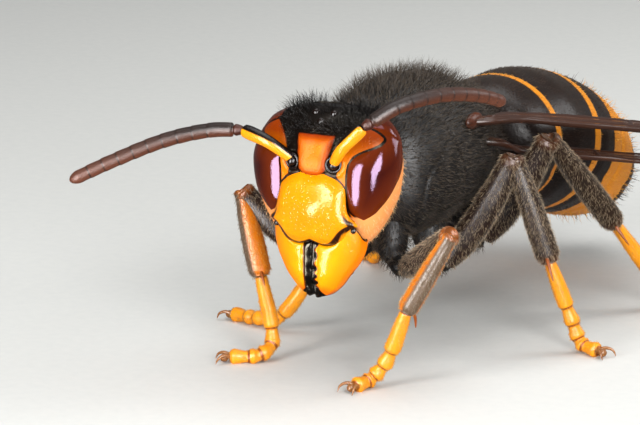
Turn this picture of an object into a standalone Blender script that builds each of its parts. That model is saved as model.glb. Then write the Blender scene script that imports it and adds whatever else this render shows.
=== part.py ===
"""An asian hornet: a worker standing with its face square on and its jaws shut.

Lengths are in millimetres in the hornet's own frame: +Z up from the floor, the head towards -Y and
the hornet's left towards +X. The meshes are made in metres, and one empty centres them all.
"""
import math

import bmesh
import bpy
import numpy as np
from mathutils import Vector

for left_over in list(bpy.data.objects):
    bpy.data.objects.remove(left_over, do_unlink=True)

# Driving dimensions
MM = 0.001
GAP = 0.3                       # between neighbouring pieces
WELD_REACHES = (0.004, 0.001, 0.0003)
SHELL_LIMIT = 1.5               # how far a sharp corner of a cutter may move, over the gap
CENTRE_X = 0.26                 # middle of the outline seen from above
CENTRE_Y = 3.145

HEAD_AT = (0.0, -6.2, 7.0)      # centre of the head
HEAD_YAW = math.radians(3)      # the face turns a little to the hornet's left
HEAD_SQUARENESS = 2.6           # exponent of the head's level sections
CORE_SHARE = 0.35               # no recess goes deeper than this share of a section
# Height over the head's centre: half width, front and back of the level section there
HEAD_ROWS = (
    (-2.35, 1.20, 0.75, -0.35), (-2.15, 1.58, 0.95, -0.60), (-1.70, 1.95, 1.13, -0.85),
    (-1.10, 2.28, 1.27, -1.05), (-0.40, 2.53, 1.36, -1.20), (0.40, 2.60, 1.35, -1.25),
    (1.20, 2.45, 1.15, -1.25), (1.75, 2.10, 0.85, -1.15), (2.10, 1.55, 0.42, -1.00),
    (2.28, 0.80, -0.05, -0.75),
)
# Height on the head: how far out the eye's inner margin runs, with the notch at 1.44
EYE_INNER_ROWS = (
    (-1.34, 1.80), (-1.20, 1.64), (-0.81, 1.42), (0.11, 1.33), (0.80, 1.38), (1.05, 1.52),
    (1.18, 1.75), (1.30, 1.93), (1.42, 1.97), (1.55, 1.88), (1.70, 1.66), (1.92, 1.52),
)
# Height on the head: angle round it, in degrees from straight ahead, of the eye's outer margin
EYE_OUTER_ROWS = (
    (-1.40, 54.0), (-1.15, 61.0), (-0.89, 67.0), (-0.24, 85.0), (0.70, 103.0), (1.50, 113.0),
    (1.92, 116.0),
)
EYE_DEPTH = 0.5
EYE_LIFT = 0.02
EYE_RIM_TURN = 1.2              # radians round the head to a millimetre of the recess's margin
EYE_BULGE = 0.16

# The orange shield between the feelers: height on the head against half width
SHIELD_LOW, SHIELD_HIGH = 0.62, 1.55
SHIELD_ROWS = ((0.45, 0.42), (0.80, 0.50), (1.20, 0.56), (1.55, 0.60))
SHIELD_LIFT = 0.06
SHIELD_BULGE = 0.06
SHIELD_ROOT = -0.3
# The three simple eyes on the crown, in the head's own axes
OCELLI = ((0, 1.86, 0.70), (-0.36, 2.10, 0.32), (0.36, 2.10, 0.32))
OCELLUS_RADIUS = 0.17
# The hollow of the head's back, which the neck runs into: its ends behind the face and their radii
NAPE_ENDS = ((0, 0.1, -0.92), (0, 0.1, -2.5))
NAPE_ROWS = ((0, 0.98, 0.98), (1, 2.2, 2.2))

CLYPEUS_TOP = 0.36
CLYPEUS_DEPTH = 0.5
CLYPEUS_LIFT = 0.06
CLYPEUS_BULGE = 0.2
# Height on the head: half width of the clypeus
CLYPEUS_SIDE_ROWS = (
    (-2.15, 1.38), (-1.50, 1.38), (-1.34, 1.30), (-1.16, 1.12), (-0.85, 1.02), (0.00, 1.00),
    (0.22, 0.90), (0.36, 0.55),
)
CLYPEUS_ROUNDNESS = 0.6         # exponent of its dome from foot to top
# Fraction of the half width: height of the lower margin, with its two lobes
CLYPEUS_FOOT_ROWS = (
    (0.00, -2.02), (0.12, -2.08), (0.34, -2.16), (0.55, -1.95), (0.75, -1.66), (1.00, -1.50),
)

MANDIBLE_THICKNESS = 0.55
JAW_TIP_SHARE = 0.6              # of that thickness at the tip
JAW_FRONT = 1.15                # how far the jaws stand forward at the midline
JAW_BEND = 0.16                 # how they curve back outwards
JAW_DOME = 0.12
TOOTH_DEPTH = 0.09
TOOTH_COUNT = 3.5
MOUTH_ROOF = -1.95              # height on the head of the cavity the tongue folds into
MOUTH_FLOOR = -3.2
MOUTH_BACK = -0.2
MOUTH_HALF_SIZE = (0.92, 0.62)
# Behind the jaws, in the head's own axes: the folded tongue below its root, and its left feeler
TONGUE_LINE = ((0, -2.8, -0.2), (0, -3.35, 0.0))
TONGUE_ROWS = ((0, 0.58, 0.30), (0.5, 0.55, 0.30), (1, 0.28, 0.25))
PALP_LINE = ((0.4, -2.6, -0.25), (0.72, -3.0, -0.3), (0.7, -3.45, -0.15))
PALP_ROWS = ((0, 0.2, 0.2), (0.5, 0.2, 0.2), (1, 0.12, 0.12))
# Across and up on the head, for the left jaw
MANDIBLE_OUTER = ((1.68, -2.12), (1.62, -2.62), (1.30, -3.12), (0.90, -3.62), (0.46, -4.00))
MANDIBLE_INNER = ((0.24, -2.46), (0.24, -2.90), (0.24, -3.40), (0.24, -3.75), (0.26, -3.98))
MANDIBLE_BASE = (
    (1.68, -2.12), (1.42, -1.96), (1.12, -2.05), (0.80, -2.38), (0.50, -2.54), (0.24, -2.46),
)

# How far out the feeler's socket is on the face, its height there, its lift and its radius
SOCKET_ENDS = ((0.76, 0.62, -0.3, 0.38), (0.80, 0.66, 0.1, 0.30))

# From the head's back to the thorax's front
NECK_START = (0, 0.0, -1.33)
NECK_END = (0, -4.45, 6.86)
NECK_ROWS = ((0, 0.55, 0.55), (1, 0.6, 0.6))

THORAX_SQUARENESS = 2.3
# Along the body: half width, top and bottom of the thorax
THORAX_ROWS = (
    (-4.20, 0.80, 7.30, 5.50), (-4.00, 1.35, 7.85, 4.85), (-3.50, 1.98, 8.50, 4.30),
    (-2.70, 2.32, 9.05, 4.05), (-1.60, 2.46, 9.30, 3.98), (-0.40, 2.46, 9.32, 4.02),
    (0.80, 2.32, 9.12, 4.22), (1.60, 2.15, 8.80, 4.45), (2.40, 1.90, 8.10, 4.75),
    (3.10, 1.45, 7.20, 5.00), (3.55, 0.90, 6.50, 5.15),
)

# Along the gaster's axis, which droops behind
GASTER_AXIS = (
    (0, 3.85, 5.70), (0, 5.40, 5.78), (0, 7.20, 5.62), (0, 10.20, 4.78), (0, 12.70, 3.68),
    (0, 15.20, 2.45),
)
GASTER_SIDES = 20
GASTER_FLATNESS = 0.92
# Fraction of a segment's length: share of its greatest half width
SEGMENT_PROFILE = ((0.0, 0.93), (0.10, 0.97), (0.45, 1.0), (0.85, 1.0), (1.0, 0.985))

WING_THICKNESS = 0.5
VEIN_HEIGHT = 0.14
VEIN_REACH = 0.24
WING_TILT = math.radians(6)      # the outer edge is the lower one
WING_CAMBER = 0.12
WING_TIP_SHARE = 0.5            # of the thickness at the tip

COLOURS = {
    "shell_black": ("#17120f", 0.45), "shell_brown": ("#3a2417", 0.45), "shell_yellow": ("#f0a80a", 0.3),
    "shell_orange": ("#d2691e", 0.35), "eye_brown": ("#4a1309", 0.12), "feeler_brown": ("#43302a", 0.5),
    "wing_membrane": ("#4a2c1c", 0.3), "leg_yellow": ("#e0901c", 0.4),
}


# The finished pieces hang on one empty; unfinished ones and cutters are in the workshop
HORNET = bpy.data.collections.new("asian_hornet")
WORKSHOP = bpy.data.collections.new("workshop")
bpy.context.scene.collection.children.link(HORNET)
bpy.context.scene.collection.children.link(WORKSHOP)
BODY = bpy.data.objects.new("body_frame", None)
BODY.location = (-CENTRE_X * MM, -CENTRE_Y * MM, 0)
HORNET.objects.link(BODY)


# Smooth curves through a few values

def curve_through(rows):
    """A smooth function through rows of (x, value, ...) that never overshoots between two rows."""
    table = np.array(rows, float)
    knots = table[:, 0]
    values = table[:, 1:]
    rates = np.diff(values, axis=0) / np.diff(knots)[:, None]
    product = rates[:-1] * rates[1:]
    total = rates[:-1] + rates[1:]
    total[total == 0] = 1
    slopes = np.vstack([rates[:1], np.where(product > 0, 2 * product / total, 0), rates[-1:]])

    def at(x):
        x = min(max(x, knots[0]), knots[-1])
        i = min(int(np.searchsorted(knots, x, side="right")) - 1, len(knots) - 2)
        width = knots[i + 1] - knots[i]
        f = (x - knots[i]) / width
        value = (2 * f ** 3 - 3 * f ** 2 + 1) * values[i] + (3 * f ** 2 - 2 * f ** 3) * values[i + 1]
        value = value + width * ((f ** 3 - 2 * f ** 2 + f) * slopes[i] + (f ** 3 - f ** 2) * slopes[i + 1])
        return value if len(value) > 1 else float(value[0])
    return at


def path_through(points):
    """A smooth path through points, as a function of the fraction of its length."""
    knots = [Vector(p) for p in points]
    steps = [(b - a).length for a, b in zip(knots, knots[1:])]
    ends = [float(end) for end in np.concatenate([[0], np.cumsum(steps)]) / sum(steps)]
    slopes = []
    for i in range(len(knots)):
        a, b = max(i - 1, 0), min(i + 1, len(knots) - 1)
        slopes.append((knots[b] - knots[a]) / (ends[b] - ends[a]))

    def at(fraction):
        i = min(max(int(np.searchsorted(ends, fraction, side="right")) - 1, 0), len(knots) - 2)
        width = ends[i + 1] - ends[i]
        f = (fraction - ends[i]) / width
        place = (2 * f ** 3 - 3 * f ** 2 + 1) * knots[i] + (3 * f ** 2 - 2 * f ** 3) * knots[i + 1]
        return place + width * ((f ** 3 - 2 * f ** 2 + f) * slopes[i] + (f ** 3 - f ** 2) * slopes[i + 1])
    return at


def round_power(value, squareness):
    """The sine or cosine of a superellipse."""
    return math.copysign(abs(value) ** (2 / squareness), value)


def ease(x, low, high):
    """Rises smoothly from 0 at low to 1 at high."""
    f = min(max((x - low) / (high - low), 0), 1)
    return f * f * (3 - 2 * f)


# Closed solids

def new_object(name, bm):
    bmesh.ops.recalc_face_normals(bm, faces=bm.faces)
    mesh = bpy.data.meshes.new(name)
    bm.to_mesh(mesh)
    bm.free()
    thing = bpy.data.objects.new(name, mesh)
    WORKSHOP.objects.link(thing)
    return thing


def loft(name, rings, first_cap=0.0, last_cap=0.0):
    """A closed solid over rings of points; each end is a fan to a pole that stands out by its cap."""
    bm = bmesh.new()
    loops = [[bm.verts.new(Vector(p) * MM) for p in ring] for ring in rings]
    count = len(rings[0])
    for near, far in zip(loops, loops[1:]):
        for i in range(count):
            j = (i + 1) % count
            bm.faces.new((near[i], near[j], far[j], far[i]))
    middles = [sum((Vector(p) for p in ring), Vector()) / count for ring in rings]
    for loop, end, inward, cap in ((loops[0], 0, 1, first_cap), (loops[-1], -1, -2, last_cap)):
        out = (middles[end] - middles[inward]).normalized()
        pole = bm.verts.new((middles[end] + out * cap) * MM)
        for i in range(count):
            bm.faces.new((loop[i], loop[(i + 1) % count], pole))
    return new_object(name, bm)


def slab(name, outer, inner, rows, columns):
    """A closed plate between two surfaces, each a function of two fractions."""
    bm = bmesh.new()
    grids = []
    for surface in (outer, inner):
        grids.append([[bm.verts.new(Vector(surface(r / rows, c / columns)) * MM)
                       for c in range(columns + 1)] for r in range(rows + 1)])
    for grid in grids:
        for r in range(rows):
            for c in range(columns):
                a, b = grid[r][c], grid[r][c + 1]
                d, e = grid[r + 1][c], grid[r + 1][c + 1]
                bm.faces.new((a, b, e))
                bm.faces.new((a, e, d))
    rim = [(0, c) for c in range(columns)] + [(r, columns) for r in range(rows)]
    rim += [(rows, c) for c in range(columns, 0, -1)] + [(r, 0) for r in range(rows, 0, -1)]
    for (r, c), (k, m) in zip(rim, rim[1:] + rim[:1]):
        bm.faces.new((grids[0][r][c], grids[0][k][m], grids[1][k][m], grids[1][r][c]))
    return new_object(name, bm)


def limb(name, points, rows, sides=8, across=(0, 0, 1), caps=0.35):
    """A solid along a smooth path. Rows are fraction of its length, half width and half depth."""
    path = path_through(points)
    rings = []
    for fraction, wide, deep in rows:
        ahead = (path(fraction + 0.01) - path(fraction - 0.01)).normalized()
        deep_axis = ahead.cross(Vector(across)).normalized()
        wide_axis = deep_axis.cross(ahead)
        turns = [2 * math.pi * k / sides for k in range(sides)]
        rings.append([path(fraction) + wide_axis * wide * math.cos(turn) + deep_axis * deep * math.sin(turn)
                      for turn in turns])
    return loft(name, rings, caps * min(rows[0][1:]), caps * min(rows[-1][1:]))


def ball(name, centre, radii, segments=10, rings=6):
    bm = bmesh.new()
    bmesh.ops.create_uvsphere(bm, u_segments=segments, v_segments=rings, radius=1)
    for vert in bm.verts:
        vert.co = Vector([(centre[i] + vert.co[i] * radii[i]) * MM for i in range(3)])
    return new_object(name, bm)


def block(name, low, high):
    bm = bmesh.new()
    bmesh.ops.create_cube(bm, size=1)
    for vert in bm.verts:
        vert.co = Vector([(low[i] + (vert.co[i] + 0.5) * (high[i] - low[i])) * MM for i in range(3)])
    return new_object(name, bm)


# Joining and cutting

def shells_of(bm):
    """The separate closed surfaces of a mesh, as lists of faces, smallest volume first."""
    left = set(bm.faces)
    shells = []
    while left:
        shell = [left.pop()]
        for face in shell:
            for edge in face.edges:
                for other in edge.link_faces:
                    if other in left:
                        left.remove(other)
                        shell.append(other)
        shells.append(shell)

    def volume(shell):
        total = 0
        for face in shell:
            corners = [vert.co for vert in face.verts]
            for b, c in zip(corners[1:], corners[2:]):
                total += corners[0].dot(b.cross(c)) / 6
        return abs(total)
    return sorted(shells, key=volume)


def keep_largest(thing):
    """Leaves only the largest closed surface of a piece."""
    bm = bmesh.new()
    bm.from_mesh(thing.data)
    extra = [face for shell in shells_of(bm)[:-1] for face in shell]
    bmesh.ops.delete(bm, geom=extra, context="FACES")
    bm.to_mesh(thing.data)
    bm.free()
    return thing


def weld(thing):
    """Merges points that all but meet, as far as the surface stays closed."""
    for reach in WELD_REACHES:
        bm = bmesh.new()
        bm.from_mesh(thing.data)
        bmesh.ops.remove_doubles(bm, verts=bm.verts, dist=reach * MM)
        bmesh.ops.dissolve_degenerate(bm, edges=bm.edges, dist=reach * MM / 2)
        closed = all(edge.is_manifold for edge in bm.edges)
        if closed:
            bm.to_mesh(thing.data)
        bm.free()
        if closed:
            return


def is_closed(mesh):
    bm = bmesh.new()
    bm.from_mesh(mesh)
    closed = len(bm.faces) > 0 and all(edge.is_manifold for edge in bm.edges)
    bm.free()
    return closed


def combine(body, tools, operation):
    """Joins or cuts the body with closed objects, which are then removed."""
    group = bpy.data.collections.new("tools")
    WORKSHOP.children.link(group)
    for tool in tools:
        WORKSHOP.objects.unlink(tool)
        group.objects.link(tool)
    change = body.modifiers.new("combine", "BOOLEAN")
    change.operation = operation
    change.operand_type = "COLLECTION"
    change.collection = group
    for solver in ("EXACT", "MANIFOLD"):
        change.solver = solver
        shape = body.evaluated_get(bpy.context.evaluated_depsgraph_get())
        mesh = bpy.data.meshes.new_from_object(shape)
        if is_closed(mesh):
            break
    body.modifiers.clear()
    body.data = mesh
    for tool in tools:
        bpy.data.objects.remove(tool, do_unlink=True)
    bpy.data.collections.remove(group)
    return body


def grown(thing):
    """The same piece with every face moved out by the gap, to cut its neighbours with."""
    bm = bmesh.new()
    bm.from_mesh(thing.data)
    bm.normal_update()
    moves = [(vert, vert.normal * min(vert.calc_shell_factor(), SHELL_LIMIT)) for vert in bm.verts]
    for vert, move in moves:
        vert.co += move * GAP * MM
    bm.to_mesh(thing.data)
    bm.free()
    return thing


def join(body, *tools):
    return keep_largest(combine(body, tools, "UNION"))


def cut(body, *tools):
    for tool in tools:
        keep_largest(combine(body, [tool], "DIFFERENCE"))
    return body


def finish(thing, name, colour):
    """Names a finished piece, gives it its material and hangs it on the hornet's empty."""
    code, roughness = COLOURS[colour]
    material = bpy.data.materials.get(colour) or bpy.data.materials.new(colour)
    material.use_nodes = True
    shader = material.node_tree.nodes["Principled BSDF"]
    channels = [int(code[i:i + 2], 16) / 255 for i in (1, 3, 5)]
    linear = [c / 12.92 if c <= 0.04045 else ((c + 0.055) / 1.055) ** 2.4 for c in channels]
    shader.inputs["Base Color"].default_value = (*linear, 1)
    shader.inputs["Roughness"].default_value = roughness
    shader.inputs["Metallic"].default_value = 0
    weld(thing)
    thing.name = name
    thing.data.name = name
    thing.data.materials.clear()
    thing.data.materials.append(material)
    thing.data.shade_smooth()
    thing.data.set_sharp_from_angle(angle=math.radians(35))
    WORKSHOP.objects.unlink(thing)
    HORNET.objects.link(thing)
    thing.parent = BODY
    return thing


# Head

head_size = curve_through(HEAD_ROWS)
eye_inner = curve_through(EYE_INNER_ROWS)
eye_outer = curve_through(EYE_OUTER_ROWS)
clypeus_side = curve_through(CLYPEUS_SIDE_ROWS)
clypeus_foot = curve_through(CLYPEUS_FOOT_ROWS)


def from_head(u, v, w):
    """A point of the head: u to the hornet's left, v up and w forward, out of the face."""
    left = Vector((math.cos(HEAD_YAW), math.sin(HEAD_YAW), 0))
    forward = Vector((math.sin(HEAD_YAW), -math.cos(HEAD_YAW), 0))
    return Vector(HEAD_AT) + left * u + Vector((0, 0, v)) + forward * w


def head_point(v, angle, lift=0.0):
    """The head's surface at a height and an angle from straight ahead, or a form that much larger."""
    half, front, back = head_size(v)
    middle, depth = (front + back) / 2, (front - back) / 2
    across = max(half + lift, half * CORE_SHARE) * round_power(math.sin(angle), HEAD_SQUARENESS)
    out = max(depth + lift, depth * CORE_SHARE) * round_power(math.cos(angle), HEAD_SQUARENESS)
    return from_head(across, v, middle + out)


def angle_at(v, u):
    """The angle at which the front of the head is u out from the middle."""
    share = min(abs(u) / head_size(v)[0], 1)
    return math.copysign(math.asin(share ** (HEAD_SQUARENESS / 2)), u)


def face_point(u, v, lift=0.0):
    return head_point(v, angle_at(v, u), lift)


def head_form():
    """The whole head as one closed form."""
    sides, levels = 24, 12
    low, high = HEAD_ROWS[0][0], HEAD_ROWS[-1][0]
    rings = []
    for k in range(levels + 1):
        v = (low + high) / 2 - (high - low) / 2 * math.cos(math.pi * k / levels)
        rings.append([head_point(v, 2 * math.pi * i / sides) for i in range(sides)])
    return loft("head_form", rings, 0.08, 0.06)


def eye_plate(side, grow=0.0):
    """The eye's kidney outline on the head, domed outside and let into the head, or its recess."""
    low, high = EYE_INNER_ROWS[0][0], EYE_INNER_ROWS[-1][0]

    def at(s, t, level):
        v = low - grow + (high - low + 2 * grow) * s
        row = min(max(v, low), high)
        start = angle_at(row, eye_inner(row)) - EYE_RIM_TURN * grow
        end = math.radians(eye_outer(row)) + EYE_RIM_TURN * grow
        return head_point(v, side * (start + (end - start) * t), level)

    def outer(s, t):
        dome = 4 * t * (1 - t) * math.sqrt(max(4 * s * (1 - s), 0))
        return at(s, t, 2.5 * grow + EYE_LIFT + EYE_BULGE * min(dome * 1.6, 1))
    return slab("eye", outer, lambda s, t: at(s, t, -EYE_DEPTH - grow), 13, 6)


def clypeus_plate():
    """The clypeus's outline on the face, with its two lower lobes."""
    def at(s, t, level):
        part = 2 * t - 1
        foot = clypeus_foot(abs(part))
        v = foot + (CLYPEUS_TOP - foot) * s
        return face_point(part * clypeus_side(max(v, CLYPEUS_SIDE_ROWS[0][0])), v, level)

    def outer(s, t):
        part = 2 * t - 1
        dome = (1 - part ** 2) * math.sin(math.pi * min(0.08 + 0.9 * s, 1)) ** CLYPEUS_ROUNDNESS
        return at(s, t, CLYPEUS_LIFT + CLYPEUS_BULGE * dome)
    return slab("clypeus", outer, lambda s, t: at(s, t, -CLYPEUS_DEPTH), 8, 10)


def shield_plate():
    """The orange shield that stands out between the feelers' sockets."""
    half = curve_through(SHIELD_ROWS)

    def at(s, t, level):
        v = SHIELD_LOW + (SHIELD_HIGH - SHIELD_LOW) * s
        return face_point((2 * t - 1) * half(v), v, level)

    def outer(s, t):
        return at(s, t, SHIELD_LIFT + SHIELD_BULGE * math.sin(math.pi * s))
    return slab("shield", outer, lambda s, t: at(s, t, SHIELD_ROOT), 4, 4)


def make_head():
    head = head_form()
    ocelli = [ball("ocellus", from_head(*place), [OCELLUS_RADIUS] * 3, segments=8, rings=5)
              for place in OCELLI]
    join(head, shield_plate(), *ocelli, feeler_socket(1), feeler_socket(-1))
    for side in (-1, 1):
        cut(head, eye_plate(side, GAP))
    cut(head, grown(clypeus_plate()), mouth_cavity(), mandible(1, GAP), mandible(-1, GAP))
    nape = limb("nape", [from_head(*end) for end in NAPE_ENDS], NAPE_ROWS, sides=16, caps=0)
    finish(cut(head, nape), "head", "shell_black")


def make_face():
    for side, letter in ((1, "l"), (-1, "r")):
        finish(eye_plate(side), "eye_" + letter, "eye_brown")
    finish(clypeus_plate(), "clypeus", "shell_yellow")
    for side, letter in ((1, "l"), (-1, "r")):
        finish(mandible(side), "mandible_" + letter, "shell_yellow")


def mandible(side, grow=0.0):
    """One jaw: a domed plate from the corner of the face to its tip, toothed along the midline."""
    outer_edge = path_through([(u + grow, v, 0) for u, v in MANDIBLE_OUTER])
    inner_edge = path_through([(u - grow, v, 0) for u, v in MANDIBLE_INNER])
    middle = (MANDIBLE_BASE[0][0] + MANDIBLE_BASE[-1][0]) / 2
    half = (MANDIBLE_BASE[0][0] - MANDIBLE_BASE[-1][0]) / 2
    base_edge = path_through([(u + grow * (u - middle) / half, v + grow, 0) for u, v in MANDIBLE_BASE])
    reach = 0 if grow else TOOTH_DEPTH

    def at(s, t, depth):
        bite = reach * math.sin(2 * math.pi * TOOTH_COUNT * s) * ease(s, 0, 0.2)
        straight = outer_edge(0).lerp(inner_edge(0), t)
        place = outer_edge(s).lerp(inner_edge(s) + Vector((bite, 0, 0)), t)
        place += (base_edge(t) - straight) * (1 - s)
        w = JAW_FRONT - JAW_BEND * place.x ** 2 + JAW_DOME * math.sin(math.pi * t) - depth
        return from_head(side * place.x, place.y, w)

    def back(s, t):
        return at(s, t, MANDIBLE_THICKNESS * (1 - (1 - JAW_TIP_SHARE) * s) + grow)
    return slab("jaw", lambda s, t: at(s, t, -3 * grow), back, 12, 5)


def mouth_cavity():
    """The opening under the head that the tongue folds into."""
    ends = [from_head(0, height, MOUTH_BACK) for height in (MOUTH_ROOF, MOUTH_FLOOR)]
    rows = [(fraction, *MOUTH_HALF_SIZE) for fraction in (0, 1)]
    return limb("mouth", ends, rows, 12, (1, 0, 0), caps=0)


def make_mouthparts():
    """The folded tongue and its feelers, behind the jaws."""
    line = ((0, MOUTH_ROOF - GAP, -0.25), *TONGUE_LINE)
    tongue = limb("tongue", [from_head(*place) for place in line], TONGUE_ROWS, across=(1, 0, 0), caps=0)
    palps = []
    for side in (-1, 1):
        line = [from_head(side * u, v, w) for u, v, w in PALP_LINE]
        palps.append(limb("palp", line, PALP_ROWS, sides=5, across=(0, 1, 0)))
    finish(join(tongue, *palps), "mouthparts", "shell_brown")


# Feelers: from the socket to the scape's end, then the flagellum's way to its tip

FEELERS = {
    "l": dict(scape=((0.82, -7.45, 7.66), (1.32, -7.72, 8.30), (1.98, -7.55, 9.02)),
              lash=((1.98, -7.55, 9.02), (2.75, -6.60, 9.62), (3.55, -4.95, 9.80), (4.10, -3.35, 9.55),
                    (4.30, -1.80, 9.05))),
    "r": dict(scape=((-0.70, -7.50, 7.66), (-1.45, -7.86, 8.25), (-2.45, -7.76, 8.52)),
              lash=((-2.45, -7.76, 8.52), (-3.55, -8.05, 8.45), (-4.90, -8.75, 8.10), (-6.30, -9.80, 7.45),
                    (-7.48, -10.70, 6.80))),
}
SCAPE_ROWS = (
    (0, 0.20, 0.20), (0.1, 0.25, 0.25), (0.4, 0.27, 0.27), (0.8, 0.30, 0.30), (0.96, 0.30, 0.30),
    (1, 0.2, 0.2),
)
SCAPE_ACROSS = (0.3, 1, 0)
PEDICEL_ROWS = ((0.0, 0.18, 0.18), (0.03, 0.26, 0.26), (0.055, 0.22, 0.22))
PEDICEL_END = 0.06
# The lengths of the flagellomeres against each other
FLAGELLOMERES = (1.7, 1, 1, 1, 1, 1, 1, 1, 1, 1.3)
FLAGELLOMERE_RADII = (0.235, 0.265)
LASH_TAPER = 0.12
LASH_TIP_ROWS = ((0.975, 0.19, 0.19), (1.0, 0.09, 0.09))


def lash_rows():
    """The pedicel, then ten flagellomeres that each widen a little to their outer end."""
    rows = list(PEDICEL_ROWS)
    start = PEDICEL_END
    for number, weight in enumerate(FLAGELLOMERES):
        length = (1 - PEDICEL_END) * weight / sum(FLAGELLOMERES)
        taper = 1 - LASH_TAPER * (number / len(FLAGELLOMERES)) ** 2
        thin, thick = [radius * taper for radius in FLAGELLOMERE_RADII]
        rows += [(start + 0.12 * length, thin, thin), (start + 0.92 * length, thick, thick)]
        start += length
    return rows[:-1] + list(LASH_TIP_ROWS)


def feeler_socket(side):
    ends = [face_point(side * u, v, lift) for u, v, lift, radius in SOCKET_ENDS]
    rows = [(fraction, end[3], end[3]) for fraction, end in zip((0, 1), SOCKET_ENDS)]
    return limb("socket", ends, rows, caps=0)


def make_feelers():
    for side, letter in ((1, "l"), (-1, "r")):
        line = FEELERS[letter]
        scape = limb("scape", line["scape"], SCAPE_ROWS, 8, SCAPE_ACROSS)
        cut(scape, grown(feeler_socket(side)), grown(head_form()))
        lash = limb("lash", line["lash"], lash_rows(), 7, (0, 0, 1))
        cut(lash, grown(limb("scape", line["scape"], SCAPE_ROWS, 8, SCAPE_ACROSS)))
        finish(scape, "scape_" + letter, "shell_yellow")
        finish(lash, "flagellum_" + letter, "feeler_brown")


# Thorax

thorax_size = curve_through(THORAX_ROWS)


def thorax_point(y, angle, lift=0.0):
    """The thorax's surface at a place along the body and an angle from straight up, or over it."""
    half, top, bottom = thorax_size(y)
    middle, height = (top + bottom) / 2, (top - bottom) / 2
    return Vector(((half + lift) * round_power(math.sin(angle), THORAX_SQUARENESS), y,
                   middle + (height + lift) * round_power(math.cos(angle), THORAX_SQUARENESS)))


def thorax_form():
    """The whole thorax as one closed form."""
    sides, levels = 24, 13
    low, high = THORAX_ROWS[0][0], THORAX_ROWS[-1][0]
    rings = []
    for k in range(levels + 1):
        share = (2 * k / levels - 1 - math.cos(math.pi * k / levels)) / 2
        y = (low + high) / 2 + (high - low) / 2 * share
        rings.append([thorax_point(y, 2 * math.pi * i / sides) for i in range(sides)])
    return loft("thorax_form", rings)


def sheet(surface, thickness, rows, columns):
    """A thin cutter along a surface that is a function of two fractions."""
    def at(s, t, shift):
        e = 0.01
        normal = (surface(s + e, t) - surface(s - e, t)).cross(surface(s, t + e) - surface(s, t - e))
        return surface(s, t) + normal.normalized() * shift
    half = thickness / 2
    return slab("sheet", lambda s, t: at(s, t, half), lambda s, t: at(s, t, -half), rows, columns)


def pronotum_edge(s, t):
    """The pronotum's hind edge: short on the back, and running back to the wing root on each side."""
    x, z = -3.2 + 6.4 * t, 3.2 + 7.0 * s
    reach = ease(abs(x), 0.9, 2.35) * math.exp(-((z - 7.9) / 1.0) ** 2)
    return Vector((x, -3.35 + 1.5 * reach + 0.25 * ease(7 - z, 0, 3), z))


def propodeum_edge(s, t):
    """The edge between the wing-bearing thorax and the sloping hind part."""
    x, z = -3.2 + 6.4 * t, 3.2 + 7.0 * s
    return Vector((x, 2.0 - 0.12 * abs(x), z))


SCUTELLUM_FRONT = 0.35
SCUTELLUM_BACK = 1.45
SCUTELLUM_SPREAD = math.radians(33)
SCUTELLUM_DEPTH = 0.55
SCUTELLUM_BULGE = 0.12


def scutellum_plate():
    """The scutellum: a domed shield let into the back."""
    def at(s, t, level):
        y = SCUTELLUM_FRONT + (SCUTELLUM_BACK - SCUTELLUM_FRONT) * s
        return thorax_point(y, (2 * t - 1) * SCUTELLUM_SPREAD * (1 - 0.25 * s ** 2), level)

    def outer(s, t):
        return at(s, t, 0.04 + SCUTELLUM_BULGE * (1 - (2 * t - 1) ** 2) * 4 * s * (1 - s))
    return slab("scutellum", outer, lambda s, t: at(s, t, -SCUTELLUM_DEPTH), 4, 6)


def make_thorax():
    """One form, parted by two thin curved cuts, with the scutellum let into its back."""
    whole = thorax_form()
    for edge in (pronotum_edge, propodeum_edge):
        combine(whole, [sheet(edge, GAP, 10, 10)], "DIFFERENCE")
    bm = bmesh.new()
    bm.from_mesh(whole.data)
    pieces = [copy_of(shell) for shell in shells_of(bm)[-3:]]
    bm.free()
    bpy.data.objects.remove(whole, do_unlink=True)
    front, middle, hind = sorted(pieces, key=lambda piece: min(v.co.y for v in piece.data.vertices))
    cut(middle, grown(scutellum_plate()))
    finish(front, "pronotum", "shell_black")
    finish(middle, "mesothorax", "shell_black")
    finish(hind, "propodeum", "shell_black")
    finish(scutellum_plate(), "scutellum", "shell_black")
    neck = limb("neck", (from_head(*NECK_START), NECK_END), NECK_ROWS, 12, (1, 0, 0), caps=0)
    finish(cut(neck, grown(thorax_form())), "neck", "shell_black")


def copy_of(faces):
    """A new object from some faces of a mesh."""
    bm = bmesh.new()
    made = {}
    for face in faces:
        for vert in face.verts:
            if vert not in made:
                made[vert] = bm.verts.new(vert.co)
        bm.faces.new([made[vert] for vert in face.verts])
    return new_object("piece", bm)


TEGULA_AT = (2.52, -0.95, 7.95)
TEGULA_RADII = (0.55, 0.68, 0.48)


def tegula_scale(side):
    x, y, z = TEGULA_AT
    return ball("tegula", (side * x, y, z), TEGULA_RADII)


def make_tegulae():
    for side, letter in ((1, "l"), (-1, "r")):
        finish(cut(tegula_scale(side), grown(thorax_form())), "tegula_" + letter, "shell_orange")


# Gaster: six ringed segments on one drooping axis

gaster_path = path_through(GASTER_AXIS)
# Name, first and last share of the axis, and greatest half width
SEGMENTS = (
    ("gaster_1", 0.0, 0.205, 2.55), ("gaster_2", 0.205, 0.430, 2.80), ("gaster_3", 0.430, 0.605, 2.72),
    ("gaster_4", 0.605, 0.765, 2.44), ("gaster_5", 0.765, 0.890, 1.95), ("gaster_6", 0.890, 1.0, 1.30),
)
# Fraction of the first and of the last segment's length: half width
WAIST_ROWS = (
    (0.0, 0.42), (0.10, 0.50), (0.17, 1.10), (0.24, 1.80), (0.35, 2.26), (0.58, 2.48), (0.85, 2.55),
    (1.0, 2.52),
)
TAIL_ROWS = ((0.0, 1.25), (0.3, 1.10), (0.6, 0.80), (0.85, 0.45), (1.0, 0.18))


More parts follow.
